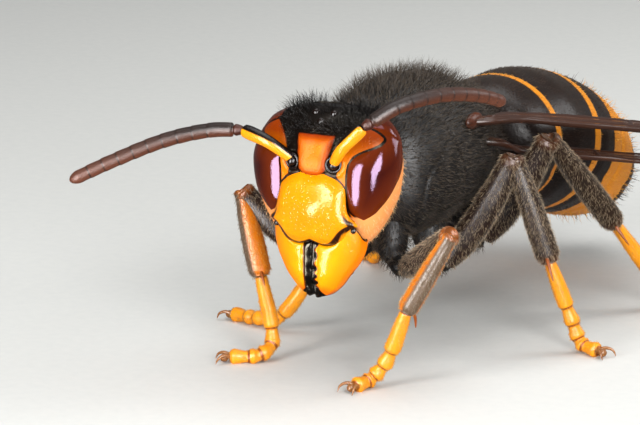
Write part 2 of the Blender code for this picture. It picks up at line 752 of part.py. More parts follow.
def gaster_ring(share, half):
    ahead = (gaster_path(min(share + 0.01, 1)) - gaster_path(max(share - 0.01, 0))).normalized()
    across = Vector((1, 0, 0))
    up = across.cross(ahead) * GASTER_FLATNESS
    turns = [2 * math.pi * k / GASTER_SIDES for k in range(GASTER_SIDES)]
    return [gaster_path(share) + (across * math.sin(turn) + up * math.cos(turn)) * half for turn in turns]


def make_gaster():
    length = sum((gaster_path((k + 1) / 40) - gaster_path(k / 40)).length for k in range(40))
    for name, first, last, half in SEGMENTS:
        if last < 1:
            last -= GAP / length
        rows = [(f, half * g) for f, g in SEGMENT_PROFILE]
        if name == "gaster_1":
            rows = WAIST_ROWS
        if name == "gaster_6":
            rows = TAIL_ROWS
        rings = [gaster_ring(first + (last - first) * f, r) for f, r in rows]
        finish(loft(name, rings, 0, 0.1 if last == 1 else 0), name, "shell_brown")


# Wings: narrow blades, folded lengthways as the hornet holds them at rest

WINGS = {
    "fore": dict(middle=((2.05, -0.45, 7.88), (2.80, 0.30, 7.85), (2.68, 2.00, 7.60), (3.05, 3.60, 7.28),
                         (3.80, 5.50, 6.90), (4.22, 7.50, 6.45), (4.25, 10.6, 5.75), (4.10, 14.0, 4.95),
                         (3.80, 17.0, 4.25)),
                 width=((0, 0.5), (0.07, 0.6), (0.14, 1.0), (0.22, 1.4), (0.35, 1.9), (0.50, 2.15),
                        (0.70, 2.2), (0.88, 1.9), (0.96, 1.2), (1, 0.5)),
                 rows=26, columns=8,
                 veins=(((0.0, 0.08), (0.62, 0.08), (0.70, 0.10)),
                        ((0.04, 0.32), (0.35, 0.26), (0.62, 0.18)),
                        ((0.66, 0.12), (0.80, 0.30), (0.92, 0.12)),
                        ((0.06, 0.55), (0.35, 0.52), (0.60, 0.46), (0.86, 0.55)),
                        ((0.05, 0.80), (0.30, 0.80), (0.55, 0.86)), ((0.60, 0.18), (0.62, 0.46)),
                        ((0.72, 0.24), (0.74, 0.50)), ((0.45, 0.24), (0.50, 0.50), (0.52, 0.84)))),
    "hind": dict(middle=((1.75, 0.75, 6.95), (2.50, 1.40, 6.78), (2.56, 2.40, 6.36), (3.00, 3.60, 6.10),
                         (3.85, 5.50, 5.74), (4.28, 7.50, 5.28), (4.28, 10.6, 4.60), (4.15, 12.8, 4.12)),
                 width=((0, 0.5), (0.08, 0.55), (0.2, 0.9), (0.35, 1.5), (0.6, 1.8), (0.82, 1.7), (0.94, 1.1),
                        (1, 0.5)),
                 rows=18, columns=6,
                 veins=(((0.0, 0.10), (0.5, 0.12), (0.9, 0.25)), ((0.05, 0.5), (0.5, 0.48), (0.9, 0.6)),
                        ((0.42, 0.12), (0.45, 0.48)), ((0.05, 0.8), (0.5, 0.85)))),
}


def wing_blade(wing, side):
    """A thin cambered plate along the wing's middle line, with its veins raised on the upper side."""
    middle = path_through(wing["middle"])
    width = curve_through(wing["width"])
    chord = Vector((-math.cos(WING_TILT), 0, math.sin(WING_TILT)))
    length = (Vector(wing["middle"][-1]) - Vector(wing["middle"][0])).length

    def vein(s, t):
        """Height of the veins over the membrane."""
        here = Vector((s * length, t * width(s)))
        nearest = VEIN_REACH
        for line in wing["veins"]:
            for (a, b), (c, d) in zip(line, line[1:]):
                start = Vector((a * length, b * width(a)))
                run = Vector((c * length, d * width(c))) - start
                f = min(max((here - start).dot(run) / run.length_squared, 0), 1)
                nearest = min(nearest, (here - start - run * f).length)
        return VEIN_HEIGHT * (1 - nearest / VEIN_REACH)

    def at(s, t, level):
        ahead = (middle(min(s + 0.01, 1)) - middle(max(s - 0.01, 0))).normalized()
        across = (chord - ahead * chord.dot(ahead)).normalized()
        normal = ahead.cross(across)
        if normal.z < 0:
            normal = -normal
        place = middle(s) + across * (t - 0.5) * width(s)
        place += normal * (WING_CAMBER * math.sin(math.pi * t) + level)
        return Vector((side * place.x, place.y, place.z))

    def half(s):
        return WING_THICKNESS / 2 * (1 - (1 - WING_TIP_SHARE) * s ** 3)

    def upper(s, t):
        return at(s, t, half(s) + vein(s, t))
    return slab("wing", upper, lambda s, t: at(s, t, -half(s)), wing["rows"], wing["columns"])


def make_wings():
    for side, letter in ((1, "l"), (-1, "r")):
        for name, wing in WINGS.items():
            blade = wing_blade(wing, side)
            cut(blade, grown(thorax_form()))
            if name == "fore":
                cut(blade, grown(tegula_scale(side)))
            finish(blade, name + "_wing_" + letter, "wing_membrane")


# Legs: each is listed by where its joints are, for the left and the right side

LEGS = {
    "fore_leg_l": dict(coxa=((0.85, -3.35, 5.0), (1.0, -3.65, 4.1), (1.3, -3.85, 3.6), (1.75, -4.05, 3.42)),
                       knee=(4.50, -6.00, 5.35), ankle=(3.22, -6.78, 2.72),
                       foot=((2.52, -6.80, 0.98), (2.02, -7.05, 0.30), (1.80, -7.75, 0.20)),
                       thick=0.94, spurs=1),
    "fore_leg_r": dict(coxa=((-0.85, -3.35, 5.0), (-1.0, -3.65, 4.1), (-1.3, -3.85, 3.6), (-1.75, -4.05, 3.42)),
                       knee=(-4.12, -5.00, 5.72), ankle=(-3.14, -5.40, 2.88),
                       foot=((-2.72, -5.35, 0.66), (-2.82, -6.00, 0.27), (-3.75, -6.55, 0.20)),
                       thick=0.94, spurs=1),
    "mid_leg_l": dict(coxa=((0.9, -0.95, 4.9), (1.1, -1.05, 3.75), (1.5, -1.2, 3.2), (1.95, -1.35, 3.05)),
                      knee=(4.10, -0.60, 6.90), ankle=(5.20, 0.00, 3.20),
                      foot=((5.85, 0.42, 1.15), (6.25, 0.45, 0.32), (7.00, 0.25, 0.20)),
                      thick=1.0, spurs=2),
    "mid_leg_r": dict(coxa=((-0.9, -0.95, 4.9), (-1.1, -1.05, 3.75), (-1.5, -1.2, 3.2), (-1.95, -1.35, 3.05)),
                      knee=(-4.45, -0.80, 6.05), ankle=(-3.05, -1.75, 2.25),
                      foot=((-4.25, -2.05, 0.55), (-5.20, -1.85, 0.30), (-6.50, -1.50, 0.20)),
                      thick=1.0, spurs=2),
    "hind_leg_l": dict(coxa=((0.9, 1.1, 5.2), (1.1, 1.25, 4.0), (1.45, 1.4, 3.45), (1.9, 1.6, 3.3)),
                       knee=(4.14, 2.02, 7.05), ankle=(4.95, 5.70, 3.30),
                       foot=((6.00, 7.00, 1.10), (6.45, 7.50, 0.32), (7.45, 8.15, 0.20)),
                       thick=1.05, spurs=2),
    "hind_leg_r": dict(coxa=((-0.9, 1.1, 5.2), (-1.1, 1.25, 4.0), (-1.45, 1.4, 3.45), (-1.9, 1.6, 3.3)),
                       knee=(-4.20, 2.12, 6.95), ankle=(-4.75, 5.95, 3.20),
                       foot=((-5.50, 7.45, 1.05), (-5.90, 8.00, 0.32), (-6.80, 8.65, 0.20)),
                       thick=1.05, spurs=2),
}
COXA_ROWS = (
    (0, 0.55, 0.55), (0.35, 0.62, 0.62), (0.60, 0.52, 0.52), (0.74, 0.36, 0.36), (0.86, 0.40, 0.40),
    (1, 0.28, 0.28),
)
FEMUR_ROWS = (
    (0, 0.24, 0.24), (0.07, 0.34, 0.36), (0.28, 0.44, 0.50), (0.55, 0.44, 0.50), (0.82, 0.38, 0.42),
    (0.94, 0.38, 0.40), (1, 0.27, 0.28),
)
FEMUR_BOW = 0.12                # how far the thigh's middle stands off the straight line
TIBIA_ROWS = (
    (0, 0.24, 0.24), (0.07, 0.30, 0.32), (0.30, 0.33, 0.37), (0.70, 0.37, 0.43), (0.92, 0.37, 0.42),
    (1, 0.28, 0.30),
)
# Beyond the ankle, and out from the leg's axis, of a spur's root, middle and tip
SPUR_LINE = ((-0.45, 0.18), (0.10, 0.74), (0.62, 0.86))
SPUR_ROWS = ((0, 0.15, 0.15), (0.5, 0.12, 0.12), (1, 0.045, 0.045))
TARSOMERE_ENDS = (0.0, 0.44, 0.61, 0.74, 0.84, 1.0)
# Ahead of the toe, out to one side and up, of a claw's root, middle and tip
CLAW_LINE = ((-0.10, 0.08, 0), (0.26, 0.26, 0.06), (0.48, 0.34, -0.12))
CLAW_ROWS = ((0, 0.13, 0.13), (0.5, 0.10, 0.10), (1, 0.035, 0.035))
PAD_AHEAD = 0.16
PAD_RADIUS = 0.15


def tarsus_rows():
    rows = [(0, 0.20, 0.20)]
    for start, end in zip(TARSOMERE_ENDS, TARSOMERE_ENDS[1:]):
        rows += [(start + 0.02, 0.25, 0.25), (end - 0.02, 0.30, 0.29)]
    return rows + [(1.0, 0.2, 0.2)]


def make_leg(name, leg):
    coxa_end, knee, ankle = Vector(leg["coxa"][-1]), Vector(leg["knee"]), Vector(leg["ankle"])
    across = (knee - coxa_end).cross(Vector(leg["foot"][1]) - knee).normalized()
    thick = leg["thick"]

    def sized(rows):
        return [(f, wide * thick, deep * thick) for f, wide, deep in rows]
    bow = (knee - coxa_end).cross(across).normalized() * FEMUR_BOW
    femur_path = (coxa_end, (coxa_end + knee) / 2 - bow, knee)
    tibia_path = (knee, (knee + ankle) / 2, ankle)
    foot_path = (ankle, *[Vector(p) for p in leg["foot"]])

    coxa = limb("coxa", leg["coxa"], sized(COXA_ROWS), 8, across)
    cut(coxa, grown(thorax_form()))
    femur = limb("femur", femur_path, sized(FEMUR_ROWS), 8, across)
    cut(femur, grown(limb("coxa", leg["coxa"], sized(COXA_ROWS), 8, across)))
    tibia = limb("tibia", tibia_path, sized(TIBIA_ROWS), 8, across)
    down = (Vector(leg["foot"][0]) - ankle).normalized()
    spurs = []
    for k in range(leg["spurs"]):
        lean = across if k == 0 else -across
        spurs.append(limb("spur", [ankle + down * along + lean * out for along, out in SPUR_LINE],
                          SPUR_ROWS, 4, down.orthogonal()))
    join(tibia, *spurs)
    cut(tibia, grown(limb("femur", femur_path, sized(FEMUR_ROWS), 8, across)))
    tarsus = limb("tarsus", foot_path, tarsus_rows(), 6, across)
    toe = Vector(leg["foot"][-1])
    ahead = (toe - Vector(leg["foot"][-2])).normalized()
    ahead.z = 0
    aside = ahead.cross(Vector((0, 0, 1))).normalized()
    up = Vector((0, 0, 1))
    claws = []
    for side in (-1, 1):
        line = [toe + ahead * along + aside * side * out + up * rise for along, out, rise in CLAW_LINE]
        claws.append(limb("claw", line, CLAW_ROWS, 4, up))
    pad = ball("pad", toe + ahead * PAD_AHEAD, [PAD_RADIUS] * 3, segments=5, rings=3)
    join(tarsus, *claws, pad)
    cut(tarsus, grown(limb("tibia", tibia_path, sized(TIBIA_ROWS), 8, across)))
    cut(tarsus, block("floor", (-20, -20, -5), (20, 20, 0)))
    finish(coxa, name + "_coxa", "shell_black")
    finish(femur, name + "_femur", "shell_brown")
    finish(tibia, name + "_tibia", "leg_yellow" if "fore" in name else "shell_brown")
    finish(tarsus, name + "_tarsus", "leg_yellow")


# The whole hornet

def main():
    make_head()
    make_face()
    make_mouthparts()
    make_feelers()
    make_thorax()
    make_tegulae()
    make_gaster()
    make_wings()
    for name, leg in LEGS.items():
        make_leg(name, leg)


if __name__ == "__main__":
    main()
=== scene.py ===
# %% [markdown]
# An Asian hornet, as a museum would show it: life size, standing, wings folded back along the body.
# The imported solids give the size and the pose. This script dresses them: one smooth shell over the
# head, thorax and gaster, glossy eyes, jaws and claws, thin wings, and a coat of short stiff hair.

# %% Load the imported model
import math

import bpy
import numpy as np
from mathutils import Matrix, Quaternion, Vector, noise


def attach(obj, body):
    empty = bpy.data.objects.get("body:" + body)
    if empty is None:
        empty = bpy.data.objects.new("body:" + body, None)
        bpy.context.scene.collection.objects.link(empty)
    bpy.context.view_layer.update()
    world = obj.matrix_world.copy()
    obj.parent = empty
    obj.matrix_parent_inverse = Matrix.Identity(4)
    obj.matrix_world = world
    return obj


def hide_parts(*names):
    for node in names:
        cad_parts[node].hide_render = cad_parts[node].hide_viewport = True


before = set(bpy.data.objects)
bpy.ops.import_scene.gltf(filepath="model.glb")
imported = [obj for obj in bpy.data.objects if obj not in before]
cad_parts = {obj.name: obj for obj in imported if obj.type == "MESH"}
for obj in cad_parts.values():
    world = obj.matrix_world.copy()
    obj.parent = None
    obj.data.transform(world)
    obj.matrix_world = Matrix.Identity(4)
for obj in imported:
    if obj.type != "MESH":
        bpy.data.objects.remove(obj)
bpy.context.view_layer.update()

# %% [markdown]
# The hornet is drawn in millimetres in its own frame: +Z is up from the floor, it faces -Y, and its
# left is +X. Only the last step of each mesh turns millimetres into metres and centres them. The
# camera stands where the photo was taken from: to the hornet's left, a little above its head, and
# about one hand's length away, with a long lens so that the face fills a quarter of the picture.

# %% Camera
MM = 0.001
OUTLINE_MIDDLE = Vector((0.26, 3.145, 0.0))
HEAD_AT = Vector((0.0, -6.2, 7.0))
PICTURE = (640, 425)
HEAD_IN_PICTURE = (330, 173)
PIXELS_PER_MM = 29.8
CAMERA_TURN = math.radians(29)
CAMERA_RISE = math.radians(13.5)
CAMERA_AWAY = 160.0


def in_row(point):
    """A point of the hornet, in millimetres, as the frame has it, in metres."""
    return (Vector(point) - OUTLINE_MIDDLE) * MM


back = Vector((math.sin(CAMERA_TURN) * math.cos(CAMERA_RISE), -math.cos(CAMERA_TURN) * math.cos(CAMERA_RISE),
               math.sin(CAMERA_RISE)))
right = Vector((math.cos(CAMERA_TURN), math.sin(CAMERA_TURN), 0))
up = back.cross(right)
aside = (HEAD_IN_PICTURE[0] - PICTURE[0] / 2) / PIXELS_PER_MM
above = (PICTURE[1] / 2 - HEAD_IN_PICTURE[1]) / PIXELS_PER_MM
camera = bpy.data.objects.new("camera", bpy.data.cameras.new("camera"))
camera.data.sensor_width = 36
camera.data.lens = PIXELS_PER_MM * CAMERA_AWAY / PICTURE[0] * camera.data.sensor_width
camera.data.clip_start, camera.data.clip_end = 0.001, 10
camera.location = in_row(HEAD_AT + back * CAMERA_AWAY - right * aside - up * above)
camera.rotation_mode = "QUATERNION"
camera.rotation_quaternion = back.to_track_quat("Z", "Y")
bpy.context.scene.collection.objects.link(camera)
bpy.context.scene.camera = camera
bpy.context.scene.view_settings.view_transform = "Standard"     # keeps the yellows as strong as a photo does
print("lens", round(camera.data.lens), "mm")

# %% [markdown]
# Shapes come from a few measured rows and a smooth curve through them. The curve never overshoots
# between two rows, so a form that swells and narrows again keeps the widths that were measured.

# %% Smooth curves
def between(f, width, values, slopes, i):
    """The value a fraction f of the way from value i to the next one, keeping the slopes at both."""
    value = (2 * f ** 3 - 3 * f ** 2 + 1) * values[i] + (3 * f ** 2 - 2 * f ** 3) * values[i + 1]
    return value + width * ((f ** 3 - 2 * f ** 2 + f) * slopes[i] + (f ** 3 - f ** 2) * slopes[i + 1])


def curve_through(rows):
    """A smooth function through rows of (x, value, ...)."""
    table = np.array(rows, float)
    knots, values = table[:, 0], table[:, 1:]
    rates = np.diff(values, axis=0) / np.diff(knots)[:, None]
    product, total = rates[:-1] * rates[1:], rates[:-1] + rates[1:]
    total[total == 0] = 1
    slopes = np.vstack([rates[:1], np.where(product > 0, 2 * product / total, 0), rates[-1:]])

    def at(x):
        x = min(max(x, knots[0]), knots[-1])
        i = min(int(np.searchsorted(knots, x, side="right")) - 1, len(knots) - 2)
        width = knots[i + 1] - knots[i]
        value = between((x - knots[i]) / width, width, values, slopes, i)
        return [float(v) for v in value] if len(value) > 1 else float(value[0])
    return at


def path_through(points):
    """A smooth path through points, as a function of the fraction of its length."""
    knots = [Vector(p) for p in points]
    steps = [(b - a).length for a, b in zip(knots, knots[1:])]
    ends = [float(end) for end in np.concatenate([[0], np.cumsum(steps)]) / sum(steps)]
    slopes = []
    for i in range(len(knots)):
        a, b = max(i - 1, 0), min(i + 1, len(knots) - 1)
        slopes.append((knots[b] - knots[a]) / (ends[b] - ends[a]))

    def at(fraction):
        i = min(max(int(np.searchsorted(ends, fraction, side="right")) - 1, 0), len(knots) - 2)
        width = ends[i + 1] - ends[i]
        return between((fraction - ends[i]) / width, width, knots, slopes, i)
    return at


half_way = curve_through(((0, 0), (1, 1)))(0.5)
print("half way along a straight curve the value is", round(half_way, 2))

# %% [markdown]
# Besides curves, a maker needs a few soft steps: a bell for seams and bosses, an ease for the place
# where something begins, and a superellipse for sections that are squarer than a circle.

# %% Soft steps
def round_power(value, squareness):
    """The sine or cosine of a superellipse."""
    return math.copysign(abs(value) ** (2 / squareness), value)


def ease(x, low, high):
    """Rises smoothly from 0 at low to 1 at high."""
    f = min(max((x - low) / (high - low), 0), 1)
    return f * f * (3 - 2 * f)


def bell(x, width):
    """1 at 0, falling off smoothly on both sides."""
    return math.exp(-(x / width) ** 2)


def swing(low, high, turn):
    """From low to high while the turn goes from 0 to half a turn, slowest at both ends."""
    return (low + high) / 2 - (high - low) / 2 * math.cos(turn)


print("one width out, a bell is down to", round(bell(1, 1), 2))

# %% [markdown]
# A shell is a skin: a grid of points over a surface that is a function of two fractions, s along the
# form and t across or around it. Each point remembers its s and t, so that colours, markings and
# hair roots can be placed by name on the form. Colours ride on the points as plain numbers from
# 0 to 1, or as a distance in millimetres that the material turns into a crisp line.

# %% Skins
def skin(name, surface, rows, columns, around=True, poles=(False, False), thick=0.0):
    """A mesh over a surface of two fractions. Around closes it, and poles close its two ends."""
    across = columns if around else columns + 1
    places = [(r / rows, c / columns) for r in range(rows + 1) for c in range(across)]
    points = [surface(s, t) for s, t in places]
    faces = []
    for r in range(rows):
        for c in range(columns):
            a, b = r * across + c, r * across + (c + 1) % across
            faces.append((a, b, b + across, a + across))
    for end, closed in enumerate(poles):
        if closed:
            ring = [end * rows * across + c for c in range(across)]
            points.append(sum((points[i] for i in ring), Vector()) / across)
            places.append((float(end), 0.5))
            pole = len(points) - 1
            faces += [(ring[i], pole, ring[i - 1]) if end == 0 else (ring[i - 1], pole, ring[i])
                      for i in range(across)]
    mesh = bpy.data.meshes.new(name)
    mesh.from_pydata([in_row(p) for p in points], [], faces)
    if face_volume(points, faces) < 0:
        mesh.flip_normals()
    mesh.shade_smooth()
    place = mesh.attributes.new("place", "FLOAT_VECTOR", "POINT")
    place.data.foreach_set("vector", [x for s, t in places for x in (s, t, 0.0)])
    thing = bpy.data.objects.new(name, mesh)
    bpy.context.scene.collection.objects.link(thing)
    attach(thing, "root")
    if thick:
        shell = thing.modifiers.new("thickness", "SOLIDIFY")
        shell.thickness = thick * MM
        shell.offset = -1
    return thing


def face_volume(points, faces):
    """Six times the signed volume between the faces and their own middle."""
    middle = sum(points, Vector()) / len(points)
    total = 0
    for face in faces:
        a, b, c = (points[i] - middle for i in face[:3])
        total += a.dot(b.cross(c))
    return total


corner = [Vector(place) for place in ((0, 0, 0), (1, 0, 0), (0, 1, 0), (0, 0, 1))]
six_times = face_volume(corner, [(0, 2, 1), (0, 1, 3), (0, 3, 2), (1, 2, 3)])
print("a cube's corner holds", round(six_times / 6, 3), "of the cube, above 0 as its faces look out")

# %% [markdown]
# Marks are the numbers that ride on a skin's points, such as the distance to the rim of the eye. Most
# forms of an insect are tubes along a bent line, so one function sweeps an oval section along a path,
# and another makes the few plain balls.

# %% Marks, tubes and balls
NUDGE = 0.005                   # the fraction of a path over which its direction is taken
POLE_GAP = 0.02                 # the fraction of a half turn that a ball's rings leave to each pole
BALL_ROWS, BALL_COLUMNS = 16, 24


def paint(thing, **marks):
    """Gives the points of a skin named numbers, each a function of (s, t, place in millimetres)."""
    mesh = thing.data
    places = [0.0] * (3 * len(mesh.vertices))
    mesh.attributes["place"].data.foreach_get("vector", places)
    spots = [vert.co / MM + OUTLINE_MIDDLE for vert in mesh.vertices]
    for name, mark in marks.items():
        layer = mesh.attributes.new(name, "FLOAT", "POINT")
        layer.data.foreach_set("value", [float(mark(places[3 * i], places[3 * i + 1], spot))
                                         for i, spot in enumerate(spots)])


def tube(name, points, rows, sides=16, across=(0, 0, 1), rings=40):
    """A skin along a smooth path. Rows are fraction of its length, half width and half depth."""
    path = path_through(points)
    size = curve_through(rows)

    def surface(s, t):
        ahead = (path(s + NUDGE) - path(s - NUDGE)).normalized()
        deep_axis = ahead.cross(Vector(across)).normalized()
        wide_axis = deep_axis.cross(ahead)
        wide, deep = size(s)
        turn = 2 * math.pi * t
        return path(s) + wide_axis * wide * math.cos(turn) + deep_axis * deep * math.sin(turn)
    return skin(name, surface, rings, sides, poles=(True, True))


def ball(name, centre, radii, rows=BALL_ROWS, columns=BALL_COLUMNS):
    """A closed round form, given by its middle and its half widths along x, y and z."""
    def surface(s, t):
        polar, turn = math.pi * (POLE_GAP + (1 - 2 * POLE_GAP) * s), 2 * math.pi * t
        ring = math.sin(polar)
        return Vector(centre) + Vector((radii[0] * ring * math.cos(turn), radii[1] * ring * math.sin(turn),
                                        -radii[2] * math.cos(polar)))
    return skin(name, surface, rows, columns, poles=(True, True))


print("a plain ball has", (BALL_ROWS + 2) * BALL_COLUMNS, "faces")

# %% [markdown]
# Chitin, the stuff of the shell, is a tanned natural polymer: a smooth lacquer over layers that take
# their colour from pigment. It behaves like a clear coat over a coloured body, with an index of
# refraction near 1.56. The materials below start there and differ in pigment, polish and fine hair.

# %% Material helpers
def linear(code):
    """A colour written as sRGB hex, as the renderer counts it."""
    channels = [int(code[i:i + 2], 16) / 255 for i in (1, 3, 5)]
    return [c / 12.92 if c <= 0.04045 else ((c + 0.055) / 1.055) ** 2.4 for c in channels] + [1.0]


def fill(tree, node, sockets):
    """Gives sockets a number, a hex colour, "@" and the name of a stored mark, or the node it comes from."""
    for name, value in sockets.items():
        socket = node.inputs[name] if isinstance(name, int) else next(
            s for s in node.inputs if s.enabled and s.name == name)
        if isinstance(value, str):
            mark = value[1:] if value[0] == "@" else None
            value = add(tree, "Attribute", attribute_name=mark).outputs["Fac"] if mark else linear(value)
        if isinstance(value, bpy.types.Node):
            value = next(s for s in value.outputs if s.enabled)
        if isinstance(value, bpy.types.NodeSocket):
            tree.links.new(value, socket)
        else:
            socket.default_value = value
    return node


def add(tree, kind, sockets=None, **settings):
    """Adds a node with its settings and links."""
    made = tree.nodes.new("ShaderNode" + kind)
    for name, value in settings.items():
        setattr(made, name, value)
    return fill(tree, made, sockets or {})


print("half grey on screen is", round(linear("#808080")[0], 2), "of the light")

# %% [markdown]
# Colours come in layers, as in life: a mottled ground, and over it markings whose borders follow the
# marks on the skin. Textures count in metres, so a pattern's scale is one over its size.

# %% Colours, clouds and pits
def painted(tree, ground, *layers):
    """Colours laid over a ground. A layer shows where its value goes from low to high."""
    for value, low, high, colour in layers:
        amount = add(tree, "MapRange", {"Value": value, "From Min": low, "From Max": high})
        ground = add(tree, "Mix", {"Factor": amount, "A": ground, "B": colour}, data_type="RGBA")
    return ground


def finish_of(name, **fixed):
    """A new material, its nodes, and its shader with the values that are the same all over."""
    made = bpy.data.materials.new(name)
    made.use_nodes = True
    shader = made.node_tree.nodes["Principled BSDF"]
    fill(made.node_tree, shader, {key.replace("_", " "): value for key, value in fixed.items()})
    return made, made.node_tree, shader


def mottled(tree, size, detail, first, second):
    """A colour that wanders between two, in clouds of a size in millimetres."""
    place = add(tree, "TexCoord").outputs["Object"]
    cloud = add(tree, "TexNoise", {"Vector": place, "Scale": 1 / (size * MM), "Detail": detail})
    return add(tree, "Mix", {"Factor": cloud, "A": first, "B": second}, data_type="RGBA")


def pits(tree, spacing, reach):
    """A height that dips at spots a spacing in millimetres apart. Reach 1 would leave no flat between."""
    place = add(tree, "TexCoord").outputs["Object"]
    spots = add(tree, "TexVoronoi", {"Vector": place, "Scale": 1 / (spacing * MM)})
    return add(tree, "MapRange", {"Value": spots, "From Min": 0.0, "From Max": reach})


def dress(material, *things):
    """Gives pieces their material."""
    for thing in things:
        thing.data.materials.clear()
        thing.data.materials.append(material)
    print(material.name, "covers", len(things), "pieces" if len(things) > 1 else "piece")


print("clouds one millimetre wide need a scale of", round(1 / MM))

# %% [markdown]
# The head is one capsule with a squarish cross-section. Its rows give, for heights over its centre,
# the half width and how far the front and back stand out. On it, u is the distance to the hornet's
# left, v the height and w the distance forward, all in millimetres from the head's centre.

# %% Head form
HEAD_YAW = math.radians(3)
HEAD_SQUARENESS = 2.6
# Height over the middle, half width, and how far forward the front and the back are
HEAD_ROWS = (
    (-2.35, 1.20, 0.75, -0.35), (-2.15, 1.58, 0.95, -0.60), (-1.70, 1.95, 1.13, -0.85),
    (-1.10, 2.28, 1.27, -1.05), (-0.40, 2.53, 1.36, -1.20), (0.40, 2.60, 1.35, -1.25),
    (1.20, 2.45, 1.15, -1.25), (1.75, 2.10, 0.85, -1.15), (2.10, 1.55, 0.42, -1.00),
    (2.28, 0.80, -0.05, -0.75),
)
HEAD_LEFT = Vector((math.cos(HEAD_YAW), math.sin(HEAD_YAW), 0))
HEAD_FORWARD = Vector((math.sin(HEAD_YAW), -math.cos(HEAD_YAW), 0))
head_size = curve_through(HEAD_ROWS)


def from_head(u, v, w):
    """A place given from the head's centre, as a point of the hornet."""
    return HEAD_AT + HEAD_LEFT * u + Vector((0, 0, v)) + HEAD_FORWARD * w


def to_head(p):
    """A point of the hornet, as u, v and w from the head's centre."""
    q = p - HEAD_AT
    return q.dot(HEAD_LEFT), q.z, q.dot(HEAD_FORWARD)


def head_point(v, angle, lift=0.0):
    """The head's surface at a height and an angle from straight ahead, or a form that much larger."""
    half, front, rear = head_size(v)
    middle, depth = (front + rear) / 2, (front - rear) / 2
    return from_head((half + lift) * round_power(math.sin(angle), HEAD_SQUARENESS), v,
                     middle + (depth + lift) * round_power(math.cos(angle), HEAD_SQUARENESS))


def angle_at(v, u):
    """The angle at which the front of the head is u out from the middle."""
    share = min(abs(u) / head_size(v)[0], 1)
    return math.copysign(math.asin(share ** (HEAD_SQUARENESS / 2)), u)


def face_point(u, v, lift=0.0):
    """The front of the head at u and v, or a form that much larger."""
    return head_point(v, angle_at(v, u), lift)


def distance_to(outline):
    """The distance in millimetres from a point to a closed outline of points."""
    a = np.array([tuple(p) for p in outline])
    run = np.roll(a, -1, axis=0) - a
    squares = (run ** 2).sum(axis=1)

    def at(p):
        f = np.clip(((np.array(tuple(p)) - a) * run).sum(axis=1) / squares, 0, 1)
        return float(np.sqrt((((a + run * f[:, None]) - np.array(tuple(p))) ** 2).sum(axis=1)).min())
    return at


print("the head is", 2 * max(row[1] for row in HEAD_ROWS), "mm wide")

# %% [markdown]
# Each compound eye is kidney shaped: it wraps round the side of the head, and a deep notch cuts into
# its inner margin just above the feeler. The margins are rows of height against place, and the eye
# swells from its rim like a watch glass. A real eye has several thousand lenses, each about three
# hundredths of a millimetre across, which at this distance only soften the gloss.

# %% Eye margins
# Height, and how far out the inner margin is
EYE_INNER_ROWS = (
    (-1.29, 1.62), (-1.20, 1.48), (-0.81, 1.25), (0.11, 1.20), (0.62, 1.25), (0.90, 1.40), (1.08, 1.66),
    (1.20, 1.96), (1.32, 2.17), (1.44, 2.22), (1.56, 2.12), (1.70, 1.92), (1.82, 1.68), (1.98, 1.50),
    (2.12, 1.48),
)
# Height, and the angle round the head at which the outer margin is
EYE_OUTER_ROWS = (
    (-1.29, 52.0), (-1.15, 59.0), (-0.89, 67.0), (-0.24, 85.0), (0.70, 103.0), (1.50, 115.0),
    (2.12, 118.0),
)
EYE_FOOT, EYE_TOP = EYE_INNER_ROWS[0][0], EYE_INNER_ROWS[-1][0]
EYE_ROUNDING = 0.3              # height over which each end of the eye is rounded off
EYE_TIP = (0.45, 0.0004)        # where between the margins the ends come together, and how closely
FACE_EDGE = 0.985               # the part of the head's half width that still counts as its front
RIM_STEPS = 90
eye_inner = curve_through(EYE_INNER_ROWS)
eye_outer = curve_through(EYE_OUTER_ROWS)


def eye_angles(v):
    """The angles round the head between which the eye lies at a height."""
    start = angle_at(v, min(eye_inner(v), FACE_EDGE * head_size(v)[0]))
    end = math.radians(eye_outer(v))
    near = min(v - EYE_FOOT, EYE_TOP - v) / EYE_ROUNDING
    share = math.sqrt(max(1 - (1 - min(near, 1)) ** 2, EYE_TIP[1]))
    middle = start + (end - start) * EYE_TIP[0]
    return middle + (start - middle) * share, middle + (end - middle) * share


def eye_outline(side):
    """Points along the eye's rim, up the inner margin and down the outer one."""
    heights = [swing(EYE_FOOT, EYE_TOP, math.pi * k / RIM_STEPS) for k in range(RIM_STEPS + 1)]
    inner = [head_point(v, side * eye_angles(v)[0]) for v in heights]
    return inner + [head_point(v, side * eye_angles(v)[1]) for v in reversed(heights)]


eye_rims = {1: distance_to(eye_outline(1)), -1: distance_to(eye_outline(-1))}


def eye_gap(p):
    """How far a place on the head is outside the nearer eye, or below 0 inside it."""
    u, v, w = to_head(p)
    side = 1 if u > 0 else -1
    half, front, rear = head_size(v)
    depth = (w - (front + rear) / 2) / ((front - rear) / 2)
    angle = math.atan2(math.copysign(min(abs(u) / half, 1) ** (HEAD_SQUARENESS / 2), u),
                       math.copysign(min(abs(depth), 1) ** (HEAD_SQUARENESS / 2), depth))
    start, end = eye_angles(v)
    inside = EYE_FOOT < v < EYE_TOP and start < abs(angle) < end
    return eye_rims[side](p) * (-1 if inside else 1)


print("each eye is", round(EYE_TOP - EYE_FOOT, 1), "mm high")

# %% [markdown]
# The dome itself is a grid between the two margins. It rises steeply at the rim and then flattens, and
# it stands out least on the side of the head, where the eye wraps round. The dome is a thin shell
# with its edge just under the head's surface, so that no gap shows.

# %% Eyes
EYE_BULGE = 0.16
EYE_SHOULDER = 0.8              # how far in from the rim the eye goes on rising
EYE_ROUNDNESS = 2.3             # how steeply it rises from its rim
EYE_SUNK = 0.02
EYE_FLAT = (75.0, 25.0, 0.55)   # angle round the head where the eye is flattest, its reach, and how flat
EYE_SHELL = 0.25                # the dome's thickness


